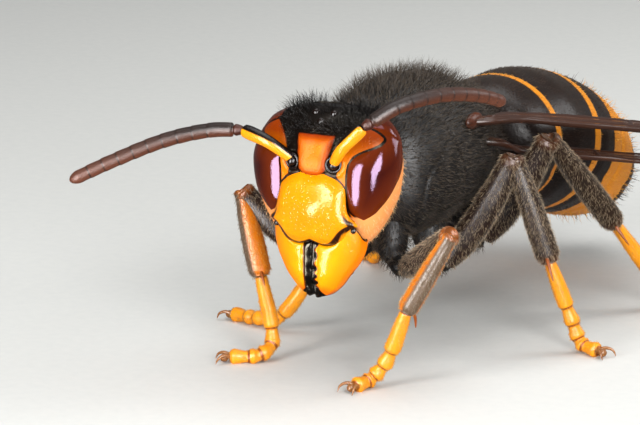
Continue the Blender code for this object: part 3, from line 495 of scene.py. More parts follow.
def make_eye(side, letter):
    """One eye's dome. Side is 1 on the hornet's left and -1 on its right."""
    def surface(s, t):
        v = swing(EYE_FOOT, EYE_TOP, math.pi * s)
        start, end = eye_angles(v)
        angle = side * (start + (end - start) * t)
        inward = eye_rims[side](head_point(v, angle))
        rise = 1 - (1 - min(inward / EYE_SHOULDER, 1)) ** EYE_ROUNDNESS
        bulge = EYE_BULGE * (1 - EYE_FLAT[2] * bell(math.degrees(abs(angle)) - EYE_FLAT[0], EYE_FLAT[1]))
        return head_point(v, angle, -EYE_SUNK + (bulge + EYE_SUNK) * rise)
    eye = skin("eye_dome_" + letter, surface, 90, 48, around=False, thick=EYE_SHELL)
    paint(eye, rim=lambda s, t, p: eye_rims[side](p))
    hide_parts("eye_" + letter)
    return eye


SIDES = ((1, "l"), (-1, "r"))
eyes = {letter: make_eye(side, letter) for side, letter in SIDES}
print("eyes", sum(len(eye.data.polygons) for eye in eyes.values()), "faces")

# %% [markdown]
# The clypeus is the shield over the mouth. It is domed, broadest where two side lobes reach out to
# the jaws' hinges, and its lower edge ends in two blunt lobes with a shallow notch between them.

# %% Clypeus
# Height, and half width
CLYPEUS_SIDE_ROWS = (
    (-2.18, 1.30), (-1.60, 1.42), (-1.36, 1.45), (-1.16, 1.30), (-0.85, 1.20), (-0.30, 1.19),
    (0.00, 1.13), (0.20, 1.02), (0.34, 0.90),
)
# Fraction of the half width: heights of the upper and the lower margin
CLYPEUS_END_ROWS = (
    (0.00, 0.27, -2.03), (0.13, 0.28, -2.10), (0.32, 0.33, -2.17), (0.48, 0.33, -2.14), (0.60, 0.29, -2.04),
    (0.69, 0.26, -1.86), (0.77, 0.19, -1.64), (0.87, 0.08, -1.50), (1.00, -0.18, -1.42),
)
# Height, and how far it stands out from the head there
CLYPEUS_RISE = (
    (-2.20, 0.50), (-1.70, 0.42), (-1.40, 0.38), (-1.00, 0.31), (-0.70, 0.23), (-0.40, 0.13),
    (0.00, 0.03), (0.34, 0.0),
)
CLYPEUS_ARCH = (0.22, 1.4)      # how much less of that is left at its sides, and where they are
CLYPEUS_SUNK = 0.07
CLYPEUS_LIP = (0.42, 0.19)      # width and height of its rounded edge
CLYPEUS_DOMES = ((0.15, 1.05), (0.10, 0.42))    # height and reach of the dome, and of the boss on it
CLYPEUS_SUMMIT = (0.13, -0.85)
EDGE_STEPS = [k / 60 for k in range(60)]
clypeus_side = curve_through(CLYPEUS_SIDE_ROWS)
clypeus_ends = curve_through(CLYPEUS_END_ROWS)
clypeus_rise = curve_through(CLYPEUS_RISE)


def clypeus_place(s, t):
    """Where a spot of the clypeus is: u and v on the face."""
    part = 2 * t - 1
    top, foot = clypeus_ends(abs(part))
    v = foot + (top - foot) * s
    return part * clypeus_side(v), v


all_round = ([(0, f) for f in EDGE_STEPS] + [(f, 1) for f in EDGE_STEPS]
             + [(1, 1 - f) for f in EDGE_STEPS] + [(1 - f, 0) for f in EDGE_STEPS])
clypeus_rim = distance_to([face_point(*clypeus_place(s, t)) for s, t in all_round])


def clypeus_surface(s, t):
    u, v = clypeus_place(s, t)
    inward = clypeus_rim(face_point(u, v))
    lip = math.sin(math.pi / 2 * min(inward / CLYPEUS_LIP[0], 1))
    away = math.hypot(u - CLYPEUS_SUMMIT[0], v - CLYPEUS_SUMMIT[1])
    dome = sum(height * bell(away, reach) for height, reach in CLYPEUS_DOMES)
    arch = 1 - CLYPEUS_ARCH[0] * (u / CLYPEUS_ARCH[1]) ** 2
    return face_point(u, v, -CLYPEUS_SUNK + CLYPEUS_LIP[1] * lip + dome + clypeus_rise(v) * arch)


clypeus = skin("clypeus_plate", clypeus_surface, 80, 80, around=False, thick=0.3)
paint(clypeus, rim=lambda s, t, p: clypeus_rim(face_point(*to_head(p)[:2])), low=lambda s, t, p: 1 - s)
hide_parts("clypeus")
print("clypeus", len(clypeus.data.polygons), "faces")

# %% [markdown]
# The capsule itself carries the rest of the face: the raised plate between the feelers, the pits
# that the feelers stand in, a fine furrow up to the three simple eyes, and the hollow at the back
# where the neck comes in. Each is a soft step or a bell added to the plain form.

# %% Face sculpture
# Height, and half width of the plate between the feelers
SHIELD_ROWS = ((0.20, 0.20), (0.36, 0.44), (0.60, 0.52), (0.95, 0.57), (1.30, 0.64), (1.62, 0.68))
SHIELD_FOOT, SHIELD_TOP = 0.2, 1.52
SOCKET = (0.76, 0.62)           # u and v of the feeler's socket
OCELLI = ((0.0, 1.90), (-0.34, 2.12), (0.34, 2.12))     # u and v of the simple eyes
HEAD_LOW, HEAD_HIGH = HEAD_ROWS[0][0], HEAD_ROWS[-1][0]
shield_half = curve_through(SHIELD_ROWS)


def shield_depth(u, v):
    """How far inside the plate between the feelers a place is, in millimetres."""
    return min(shield_half(v) - abs(u), SHIELD_TOP - v, v - SHIELD_FOOT)


def head_relief(u, v, w):
    """Height of the sculpture over the plain capsule."""
    height = 0.0
    from_socket = math.hypot(abs(u) - SOCKET[0], v - SOCKET[1])
    if w > 0:
        # The raised plate, the hollow behind the jaws, and the furrow up the forehead
        height += 0.15 * ease(shield_depth(u, v), -0.03, 0.14)
        height -= 0.32 * ease(-1.42 - v, 0, 0.15) * ease(1.5 - abs(u), 0, 0.2)
        height -= 0.05 * bell(u, 0.05) * ease(v, 0.7, 1.0) * ease(1.9 - v, 0, 0.2)
        # The pit of each feeler with its raised lip, and the dip above it
        height -= 0.16 * bell(from_socket, 0.24)
        height += 0.05 * bell(from_socket - 0.36, 0.08)
        height -= 0.05 * bell(abs(u) - 1.0, 0.2) * ease(v, 0.9, 1.3)
    # The swelling under the simple eyes, and the hollow for the neck
    height += 0.07 * bell(math.hypot(u, v - 2.05), 0.45)
    if w < 0:
        height -= 0.45 * bell(math.hypot(u, v), 1.1)
    return height


def head_surface(s, t):
    v = swing(HEAD_LOW, HEAD_HIGH, math.pi * s)
    angle = 2 * math.pi * t
    u, _, w = to_head(head_point(v, angle))
    return head_point(v, angle, head_relief(u, v, w) * ease(s, 0, 0.1) * ease(1 - s, 0, 0.06))


print("the plate between the feelers stands", round(head_relief(0.25, 1.0, 1.0), 2), "mm high")

# %% [markdown]
# The face's colours have crisp borders that follow its form, so each border is stored as a distance:
# inside the plate between the feelers, inside the strip along each eye, and from the eye's own rim.
# The cheek fades instead, so its mark is an amount from 0 to 1.

# %% Head capsule
# Height, and how far out the yellow inside the eye begins
ORBIT_ROWS = (
    (-1.25, 1.42), (-1.00, 1.22), (-0.60, 1.05), (0.00, 0.95), (0.35, 0.90), (0.62, 0.99),
    (1.00, 1.05), (1.35, 1.18), (1.60, 1.36), (1.80, 1.60),
)
orbit_inner = curve_through(ORBIT_ROWS)


def orbit_mark(s, t, p):
    """Yellow along the eye's inner rim, filling the notch: how far inside it a place is."""
    u, v, w = to_head(p)
    if w < -0.2:
        return -1
    return min(abs(u) - orbit_inner(v), v - ORBIT_ROWS[0][0], ORBIT_ROWS[-1][0] - v)


def cheek_mark(s, t, p):
    """Orange on the cheek: behind and under the eye, fading into black above."""
    u, v, w = to_head(p)
    angle = abs(math.degrees(math.atan2(u, w + 0.05)))
    under = ease(-1.15 - v, -0.1, 0.1) * ease(abs(u), 1.1, 1.3)
    behind = ease(angle, 50, 60) * ease(0.75 - v, -0.5, 0.5) * ease(128 - 8 * v - angle, -12, 6)
    return max(under * ease(120 - angle, -10, 5), behind)


head = skin("head_shell", head_surface, 150, 200, poles=(True, True))
paint(head,
      shield=lambda s, t, p: shield_depth(*to_head(p)[:2]) if to_head(p)[2] > 0.3 else -1,
      orbit=orbit_mark, cheek=cheek_mark,
      eye_rim=lambda s, t, p: eye_gap(p),
      clypeus_rim=lambda s, t, p: clypeus_rim(p) if p.y < HEAD_AT.y else 1,
      tall=lambda s, t, p: to_head(p)[1],
      ocelli=lambda s, t, p: min(math.dist(to_head(p)[:2], spot) for spot in OCELLI))
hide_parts("head")
print("head", len(head.data.polygons), "faces")

# %% [markdown]
# Three simple eyes sit in a triangle on the crown. They are clear domes, so each is a small ball with
# a glassy finish. Each feeler stands in a socket: a raised ring with a round joint inside it.

# %% Simple eyes and sockets
OCELLUS = 0.13
SUNK = 0.02
SOCKET_RING = (0.245, 0.05, 0.01)       # its radius, half its thickness, and how far it stands out
FEELER_ROOT = (0.18, 0.18, 0.17)
ocelli = [ball(f"ocellus_{number + 1}", face_point(u, v, -SUNK), (OCELLUS, OCELLUS, OCELLUS))
          for number, (u, v) in enumerate(OCELLI)]
socket_rings = []
for side, letter in SIDES:
    centre = face_point(SOCKET[0] * side, SOCKET[1], 0.0)
    out = (face_point(SOCKET[0] * side, SOCKET[1], 0.3) - centre).normalized()
    level = out.orthogonal().normalized()
    upright = out.cross(level)

    def ring_surface(s, t, centre=centre, out=out, level=level, upright=upright):
        turn, tube_turn = 2 * math.pi * t, 2 * math.pi * s
        spoke = level * math.cos(turn) + upright * math.sin(turn)
        radius, thick, lift = SOCKET_RING
        wide, high = radius + thick * math.cos(tube_turn), lift + thick * math.sin(tube_turn)
        return centre + spoke * wide + out * high
    socket_rings.append(skin("socket_ring_" + letter, ring_surface, 12, 40))
    socket_rings.append(ball("feeler_root_" + letter, centre + out * SUNK, FEELER_ROOT))
print(len(ocelli), "simple eyes and", len(socket_rings) // 2, "sockets")

# %% [markdown]
# The jaws are curved plates that close along the midline, the left one a little in front. Each is
# smooth and yellow, with a black, thickened cutting edge that carries blunt teeth towards its tip.

# %% Jaws
# Places out from the middle and over the head's centre: down the outer and the inner margin, and
# inwards along the base
JAW_OUTER = ((1.66, -2.00), (1.66, -2.36), (1.52, -2.75), (1.25, -3.15), (0.92, -3.60), (0.55, -3.92),
             (0.22, -4.02))
JAW_INNER = ((-0.04, -1.96), (-0.06, -2.55), (-0.07, -3.15), (-0.05, -3.60), (0.00, -3.95))
JAW_BASE = ((1.66, -2.00), (1.58, -1.66), (1.30, -1.38), (0.88, -1.42), (0.42, -1.80), (-0.04, -1.92))
JAW_FRONT = 1.36
JAW_BEND = 0.18
JAW_DOME = 0.22
JAW_THICKNESS = (0.5, 0.25)     # at its base, and how much of that is gone at its tip
JAW_HINGE = (1.42, -1.60, 1.16)
HINGE_KNOB = (0.10, 0.08, 0.10)
JAW_ROLLS = ((0.22, 0.12), (0.10, 0.06))        # depth and width of its rounded outer and inner margins
TEETH = (0.06, 4.2)             # their height, and how many fit in the edge
EDGE_STEP = (0.05, 0.06)        # depth of the groove beside the black edge, and height of the edge
RAGGED = (0.04, 7, 9, 0.02)     # height, waves and unevenness of the left edge's border, and its shift
EDGE_WIDTHS = {1: 0.25, -1: 0.40}       # of the black cutting edge of the left and the right jaw
SETBACKS = {1: 0.0, -1: 0.1}    # the right jaw closes a little behind the left one
jaw_outer, jaw_inner, jaw_base = (path_through([(u, v, 0) for u, v in margin])
                                  for margin in (JAW_OUTER, JAW_INNER, JAW_BASE))


def make_jaw(side, letter):
    """One jaw: its front is t from 0 to 0.5 and its back the rest, both from the outer margin in."""
    edge = EDGE_WIDTHS[side]

    def at(s, t):
        tooth = TEETH[0] * math.sin(2 * math.pi * TEETH[1] * s) * ease(s, 0.25, 0.4)
        straight = jaw_outer(0).lerp(jaw_inner(0), t)
        place = jaw_outer(s).lerp(jaw_inner(s) + Vector((tooth, 0, 0)), t)
        return place + (jaw_base(t) - straight) * (1 - s) ** 1.5

    def surface(s, t):
        front = t < 0.5
        part = 2 * t if front else 2 - 2 * t
        place = at(s, part)
        dome = JAW_DOME * math.sin(math.pi * min(part * 1.02, 1)) ** 0.7 * (1 - 0.35 * s)
        roll = sum(depth * (1 - min(away / wide, 1)) ** 2
                   for away, (depth, wide) in zip((part, 1 - part), JAW_ROLLS))
        inner = place.x - jaw_inner(s).x
        groove = EDGE_STEP[0] * bell(inner - edge, 0.05) - EDGE_STEP[1] * ease(edge - inner, 0, 0.1)
        w = JAW_FRONT - JAW_BEND * place.x ** 2 - SETBACKS[side] - 0.25 * ease(-place.y, 3.0, 4.1)
        # Under the clypeus the jaw draws back, so that the shield's edge stands over it
        behind = place.y - clypeus_ends(min(place.x / JAW_HINGE[0], 1))[1]
        w -= 0.05 * ease(behind, -0.2, 0) + 0.35 * ease(behind, -0.06, 0.14)
        if front:
            w += dome - roll - groove
        else:
            w -= (JAW_THICKNESS[0] - JAW_THICKNESS[1] * s) - roll
        return from_head(side * place.x, place.y, w)

    def border(s):
        """The black edge's uneven border, which only the left jaw shows."""
        height, waves, unevenness, shift = RAGGED
        if side < 0:
            return 0
        return height * math.sin(2 * math.pi * waves * s + 2 * math.sin(unevenness * s)) - shift
    jaw = skin("jaw_" + letter, surface, 90, 90, poles=(True, True))
    paint(jaw, inner=lambda s, t, p: side * to_head(p)[0] - jaw_inner(s).x - edge - border(s),
          along=lambda s, t, p: s, outer=lambda s, t, p: abs(side * to_head(p)[0] - at(s, 0).x))
    u, v, w = JAW_HINGE
    hinge = ball("jaw_hinge_" + letter, from_head(u * side, v, w), HINGE_KNOB)
    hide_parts("mandible_" + letter)
    return jaw, hinge


jaws, hinges = zip(*[make_jaw(side, letter) for side, letter in SIDES])
print("jaws", sum(len(jaw.data.polygons) for jaw in jaws), "faces")

# %% [markdown]
# Behind the jaws hangs the folded tongue with its short feelers, dark and half hidden.

# %% Mouthparts
# Lines from the head's centre, and rows of fraction, half width and half depth
TONGUE_LINE = ((0, -1.9, -0.2), (0, -2.7, -0.15), (0, -3.35, 0.05))
TONGUE_ROWS = ((0, 0.75, 0.4), (0.5, 0.6, 0.33), (0.9, 0.35, 0.25), (1, 0.1, 0.1))
PALP_LINE = ((0.4, -2.3, -0.25), (0.72, -3.0, -0.3), (0.7, -3.5, -0.1))
PALP_ROWS = ((0, 0.14, 0.14), (0.4, 0.13, 0.13), (0.9, 0.1, 0.1), (1, 0.03, 0.03))
tongue = tube("tongue", [from_head(*place) for place in TONGUE_LINE], TONGUE_ROWS, 24, (1, 0, 0))
palps = [tube("palp_" + letter, [from_head(u * side, v, w) for u, v, w in PALP_LINE], PALP_ROWS, 12,
              (0, 1, 0)) for side, letter in SIDES]
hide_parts("mouthparts")
print("a tongue and", len(palps), "palps")

# %% [markdown]
# A feeler is a long first joint, the scape, a short elbow, and a whip of ten rings in a worker. The
# scape is yellow in front and dark behind; the whip is matt with fine short hair.

# %% Feelers
FEELERS = {
    "l": dict(scape=((0.82, -7.45, 7.66), (1.32, -7.72, 8.30), (1.98, -7.55, 9.02)),
              lash=((1.98, -7.55, 9.02), (2.75, -6.60, 9.62), (3.55, -4.95, 9.80), (4.10, -3.35, 9.55),
                    (4.30, -1.80, 9.05))),
    "r": dict(scape=((-0.70, -7.50, 7.66), (-1.45, -7.86, 8.25), (-2.45, -7.76, 8.52)),
              lash=((-2.45, -7.76, 8.52), (-3.55, -8.05, 8.45), (-4.90, -8.75, 8.10), (-6.30, -9.80, 7.45),
                    (-7.48, -10.70, 6.80))),
}
SCAPE_ROWS = ((0, 0.14, 0.14), (0.06, 0.18, 0.18), (0.15, 0.19, 0.19), (0.5, 0.215, 0.215),
              (0.85, 0.24, 0.24), (0.96, 0.22, 0.22), (1, 0.14, 0.14))
PEDICEL_END = 0.055             # where the elbow ends, as a fraction of the whip's length
PEDICEL_ROWS = [(0.0, 0.12, 0.12), (0.018, 0.17, 0.17), (0.040, 0.20, 0.20), (PEDICEL_END, 0.15, 0.15)]
RINGS = 10
RING_LENGTHS = [1.7] + [1.0] * (RINGS - 2) + [1.3]
RING_HALVES = ((0.06, 0.242), (0.5, 0.25), (0.92, 0.254), (0.995, 0.240))       # fraction, half width
WHIP_TAPER = 0.12
WHIP_TIP = [(0.965, 0.20, 0.20), (0.99, 0.12, 0.12), (1.0, 0.03, 0.03)]
SCAPE_TOP = Vector((0, 0.5, 0.87))      # the way its dark side looks


def lash_rows():
    """The elbow, then ten rings that each widen a little to their outer end."""
    rows, ends, start = list(PEDICEL_ROWS), [], PEDICEL_END
    for number, share in enumerate(RING_LENGTHS):
        length = (1 - PEDICEL_END) * share / sum(RING_LENGTHS)
        taper = 1 - WHIP_TAPER * (number / RINGS) ** 2
        rows += [(start + part * length, half * taper, half * taper) for part, half in RING_HALVES]
        start += length
        ends.append(start)
    return rows[:-2] + WHIP_TIP, ends[:-1]


scapes, lashes = {}, {}
LASH_ROWS, RING_ENDS = lash_rows()
for letter, line in FEELERS.items():
    scapes[letter] = tube("scape_stalk_" + letter, line["scape"], SCAPE_ROWS, 32, (0.3, 1, 0), 60)
    lashes[letter] = tube("lash_" + letter, line["lash"], LASH_ROWS, 24, (0, 0, 1), 260)
    scape_path, lash_path = path_through(line["scape"]), path_through(line["lash"])
    paint(scapes[letter], top=lambda s, t, p: (p - scape_path(s)).dot(SCAPE_TOP))
    paint(lashes[letter], along=lambda s, t, p: s, top=lambda s, t, p: (p - lash_path(s)).z,
          joint=lambda s, t, p: min(abs(s - end) for end in RING_ENDS))
    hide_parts("scape_" + letter)
    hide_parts("flagellum_" + letter)
print("feelers", sum(len(part.data.polygons) for part in (*scapes.values(), *lashes.values())), "faces")

# %% [markdown]
# The thorax is a box of plates grown together into one deep, squarish barrel that holds the muscles
# of the wings. Its rows give the half width, the back and the breast for places along the body.

# %% Thorax form
THORAX_SQUARENESS = 2.3
# Place along the body, half width, and the heights of the back and of the breast
THORAX_ROWS = (
    (-4.20, 0.80, 7.30, 5.50), (-4.00, 1.35, 7.85, 4.85), (-3.50, 1.98, 8.50, 4.30),
    (-2.70, 2.32, 9.05, 4.05), (-1.60, 2.46, 9.30, 3.98), (-0.40, 2.46, 9.32, 4.02),
    (0.80, 2.32, 9.12, 4.22), (1.60, 2.15, 8.80, 4.45), (2.40, 1.90, 8.10, 4.75),
    (3.10, 1.45, 7.20, 5.00), (3.55, 0.90, 6.50, 5.15),
)
thorax_size = curve_through(THORAX_ROWS)


def thorax_point(y, angle, lift=0.0):
    """The thorax's surface at a place along the body and an angle from straight up."""
    half, top, bottom = thorax_size(y)
    middle, height = (top + bottom) / 2, (top - bottom) / 2
    return Vector(((half + lift) * round_power(math.sin(angle), THORAX_SQUARENESS), y,
                   middle + (height + lift) * round_power(math.cos(angle), THORAX_SQUARENESS)))


print("the thorax is", 2 * max(row[1] for row in THORAX_ROWS), "mm wide")

# %% [markdown]
# The seams between the plates are fine grooves: one behind the collar, one before and one behind the
# shield-shaped scutellum, one where the sloping hind part begins, and two on each flank. A groove is
# a bell across the seam's line, and where two meet, the deeper one counts.

# %% Thorax
SCUTELLUM = (0.35, 1.45)        # along the body
SEAM_DEPTH = 0.07
NECK_LINE = (from_head(0, 0, -0.7), from_head(0, 0, -1.33), (0, -4.1, 6.86))
NECK_ROWS = ((0, 0.6, 0.6), (0.5, 0.5, 0.5), (1, 0.7, 0.7))


def collar_edge(x, z):
    """How far back the collar reaches: short on the back, and to the wing root on each side."""
    reach = ease(abs(x), 0.9, 2.35) * bell(z - 7.9, 1.0)
    return -3.35 + 1.5 * reach + 0.25 * ease(7 - z, 0, 3)


def thorax_relief(p):
    """Seams and swellings over the plain form."""
    x, y, z = p
    on_top, side = ease(z, 7.6, 8.4), ease(abs(x), 1.8, 2.2)
    seam = max(
        # Behind the collar, where the sloping hind part begins, and before and behind the scutellum
        bell(y - collar_edge(x, z), 0.05),
        bell(y - (2.0 - 0.12 * abs(x)), 0.05) * ease(z, 6.0, 7.0),
        bell(y - SCUTELLUM[0] - 0.12 * abs(x), 0.05) * on_top,
        bell(y - SCUTELLUM[1] + 0.05 * x * x, 0.06) * on_top,
        # The two furrows and the midline of the back
        0.6 * bell(abs(x) - 0.95, 0.05) * ease(y, -1.6, -1.2) * ease(SCUTELLUM[0] - y, 0, 0.2) * on_top,
        0.6 * bell(x, 0.05) * ease(-1.0 - y, 0, 0.4) * ease(y, -3.2, -2.9) * on_top,
        # The slanting and the level seam of each flank
        side * bell(y + 0.9 + 0.55 * (z - 6.0), 0.06) * ease(z, 4.6, 5.2) * ease(7.6 - z, 0, 0.4),
        side * bell(z - 5.35 - 0.1 * y, 0.05) * ease(y, -2.6, -2.2) * ease(1.8 - y, 0, 0.4),
    )
    height = -SEAM_DEPTH * seam
    # The scutellum's swelling, the furrow down the hind slope, and a little unevenness
    height += 0.10 * bell(x, 0.9) * bell(y - 0.9, 0.4) * on_top
    height -= 0.10 * bell(x, 0.25) * ease(y, 2.2, 2.8)
    height += 0.04 * noise.noise(Vector(p) * 1.3)
    return height


def thorax_surface(s, t):
    low, high = THORAX_ROWS[0][0], THORAX_ROWS[-1][0]
    share = (2 * s - 1 - math.cos(math.pi * s)) / 2
    y = (low + high) / 2 + (high - low) / 2 * share
    angle = 2 * math.pi * t
    return thorax_point(y, angle, thorax_relief(thorax_point(y, angle)) * ease(min(s, 1 - s), 0, 0.05))


thorax = skin("thorax_shell", thorax_surface, 200, 200, poles=(True, True))
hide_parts("pronotum", "mesothorax", "propodeum", "scutellum")
neck = tube("neck_skin", NECK_LINE, NECK_ROWS, 24, (1, 0, 0), 30)
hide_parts("neck")
print("thorax", len(thorax.data.polygons), "faces")

# %% [markdown]
# The gaster is a telescope of six rings. Each ring's hind edge lies over the front of the next, so
# the outline steps in at each seam. Upper and lower plates overlap in a fold along each side.

# %% Gaster
GASTER_AXIS = ((0, 3.85, 5.70), (0, 5.40, 5.78), (0, 7.20, 5.62), (0, 10.20, 4.78), (0, 12.70, 3.68),
               (0, 15.20, 2.45))
GASTER_LENGTH = sum((Vector(b) - Vector(a)).length for a, b in zip(GASTER_AXIS, GASTER_AXIS[1:]))
GASTER_FLATNESS = 0.92
SEGMENT_STARTS = (0.0, 0.205, 0.430, 0.605, 0.765, 0.890, 1.0)
# Fraction of its length, and half width
GASTER_ROWS = (
    (0.0, 0.42), (0.020, 0.50), (0.034, 1.10), (0.048, 1.80), (0.070, 2.26), (0.115, 2.48),
    (0.170, 2.55), (0.205, 2.55), (0.30, 2.76), (0.430, 2.80), (0.52, 2.74), (0.605, 2.66),
    (0.69, 2.50), (0.765, 2.30), (0.83, 2.02), (0.890, 1.66), (0.925, 1.36), (0.955, 1.00),
    (0.985, 0.50), (1.0, 0.16),
)
# Fractions of a ring's length at which it has a row of points, closer together at each seam
RING_STEPS = (0, 0.03, 0.06, 0.1, 0.15, 0.2, 0.27, 0.35, 0.42, 0.5, 0.58, 0.66, 0.74, 0.8, 0.86, 0.9,
              0.94, 0.97, 0.995)
STEP = (0.09, 0.35)             # how far each ring stands over the next, and how soon that is made up
SIDE_FOLD = (112, 5, 0.05)      # angle from the top, reach and depth of the fold along each side
gaster_path = path_through(GASTER_AXIS)
gaster_half = curve_through(GASTER_ROWS)


def segment_of(s):
    """Which ring a place is on, and the fraction of that ring's length."""
    number = max(sum(s >= start for start in SEGMENT_STARTS[:-1]) - 1, 0)
    start, end = SEGMENT_STARTS[number], SEGMENT_STARTS[number + 1]
    return number, (s - start) / (end - start)


def gaster_surface(s, t):
    ahead = (gaster_path(min(s + 0.01, 1)) - gaster_path(max(s - 0.01, 0))).normalized()
    rise = Vector((1, 0, 0)).cross(ahead)
    number, part = segment_of(s)
    half = gaster_half(s)
    if number > 0:
        half -= STEP[0] * (1 - ease(part, 0.0, STEP[1]))
    turn = 2 * math.pi * t
    angle, reach, depth = SIDE_FOLD
    fold = bell(abs(math.degrees(math.atan2(math.sin(turn), math.cos(turn)))) - angle, reach)
    half -= depth * fold * ease(s, 0.1, 0.2)
    aside = Vector((half * math.sin(turn), 0, 0))
    return gaster_path(s) + aside + rise * half * GASTER_FLATNESS * math.cos(turn)


GASTER_STEPS = [start + (end - start) * f for start, end in zip(SEGMENT_STARTS, SEGMENT_STARTS[1:])
                for f in RING_STEPS] + [1.0]


def stepped(s):
    """The place along the gaster of the row of points that has this s."""
    return GASTER_STEPS[round(s * (len(GASTER_STEPS) - 1))]


gaster = skin("gaster_shell", lambda s, t: gaster_surface(stepped(s), t), len(GASTER_STEPS) - 1, 160,
              poles=(True, True))
print("gaster", len(gaster.data.polygons), "faces")

# %% [markdown]
# Each ring ends in a yellow hem: thin on the first three, nearly the whole ring on the fourth, and
# none on the last two. The mark is how far inside the hem a place is, so its border stays crisp.

# %% Gold hems
# Width in millimetres of each ring's yellow hem, and how much wider it is on the flanks
GOLD_HEMS = ((0.30, 0.05), (0.34, 0.15), (0.44, 0.30), (1.75, 0.30), (-1.0, 0.0), (-1.0, 0.0))
CRESCENT = (3, 0.75, 0.06)      # the ring whose gold has a dark crescent on top, its depth and its reach


def gold_hem(s, t, p):
    """How far inside its ring's yellow hem a place is, in millimetres."""
    number, part = segment_of(stepped(s))
    width, more = GOLD_HEMS[number]
    side = abs(math.sin(2 * math.pi * t))
    if number == CRESCENT[0]:
        width -= CRESCENT[1] * bell(math.sin(math.pi * t) ** 2, CRESCENT[2])
    length = (SEGMENT_STARTS[number + 1] - SEGMENT_STARTS[number]) * GASTER_LENGTH
    return width + more * side - (1 - part) * length


paint(gaster, gold=gold_hem, behind=lambda s, t, p: p.y)
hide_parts(*[f"gaster_{k}" for k in range(1, 7)])
print("the widest hem is", max(width for width, more in GOLD_HEMS), "mm")

# %% [markdown]
# Hornets fold each fore wing once lengthways at rest, so it shows as a narrow blade that lies along
# the body. Each wing is drawn once, for the left side: its middle line, its width along that line,
# and its veins as lines in the plane of the wing. The right one is its mirror image.

# %% Wing lines
# Middle line, width along it, and veins as places along the length and across the width
WINGS = {
    "fore": dict(middle=((2.05, -0.45, 7.88), (2.80, 0.30, 7.85), (2.68, 2.00, 7.60), (3.05, 3.60, 7.28),
                         (3.80, 5.50, 6.90), (4.22, 7.50, 6.45), (4.25, 10.6, 5.75), (4.10, 14.0, 4.95),
                         (3.80, 17.0, 4.25)),
                 width=((0, 0.5), (0.07, 0.6), (0.14, 1.0), (0.22, 1.4), (0.35, 1.9), (0.50, 2.15),
                        (0.70, 2.2), (0.86, 1.95), (0.94, 1.45), (0.98, 0.85), (1, 0.3)),
                 veins=(((0.0, 0.04), (0.62, 0.04), (0.70, 0.08), (0.93, 0.04)),
                        ((0.04, 0.22), (0.35, 0.18), (0.62, 0.12)),
                        ((0.66, 0.08), (0.80, 0.30), (0.92, 0.12)),
                        ((0.06, 0.50), (0.35, 0.52), (0.60, 0.46), (0.86, 0.55)),
                        ((0.05, 0.80), (0.30, 0.80), (0.55, 0.86)), ((0.60, 0.14), (0.62, 0.46)),
                        ((0.72, 0.20), (0.74, 0.50)), ((0.45, 0.18), (0.50, 0.50), (0.52, 0.84)),
                        ((0.02, 0.97), (0.90, 0.97)))),
    "hind": dict(middle=((1.75, 0.75, 6.95), (2.50, 1.40, 6.78), (2.56, 2.40, 6.36), (3.00, 3.60, 6.10),
                         (3.85, 5.50, 5.74), (4.28, 7.50, 5.28), (4.28, 10.6, 4.60), (4.15, 12.8, 4.12)),
                 width=((0, 0.5), (0.08, 0.55), (0.2, 0.9), (0.35, 1.5), (0.6, 1.8), (0.82, 1.65),
                        (0.93, 1.1), (0.98, 0.7), (1, 0.3)),
                 veins=(((0.0, 0.05), (0.5, 0.06), (0.9, 0.25)), ((0.05, 0.5), (0.5, 0.48), (0.9, 0.6)),
                        ((0.42, 0.06), (0.45, 0.48)), ((0.05, 0.8), (0.5, 0.85)))),
}
print("veins", {name: len(wing["veins"]) for name, wing in WINGS.items()})

# %% [markdown]
# A wing is a film a few thousandths of a millimetre thick, held out by a net of veins. The film here is
# a thin blade, thick enough to be a solid, with the veins raised in its own surface and a little
# unevenness between them. A small scale, the tegula, covers the root of each fore wing.

# %% Wings
WING_TILT = math.radians(6)
WING_CAMBER = 0.12
FILM = 0.035                    # half thickness of the blade
VEIN_HEIGHT = 0.05
VEIN_REACH = 0.085
VEIN_STEPS = 24
CRINKLE = (0.02, 1.2, 2.5)      # height of the film's unevenness, and how fine it is along and across
WING_END = (0.985, 0.9)         # where the tip begins, and how much narrower it is
TEGULA_AT = (2.37, -0.28, 7.92)
TEGULA_SIZE = (0.18, 0.56, 0.28)


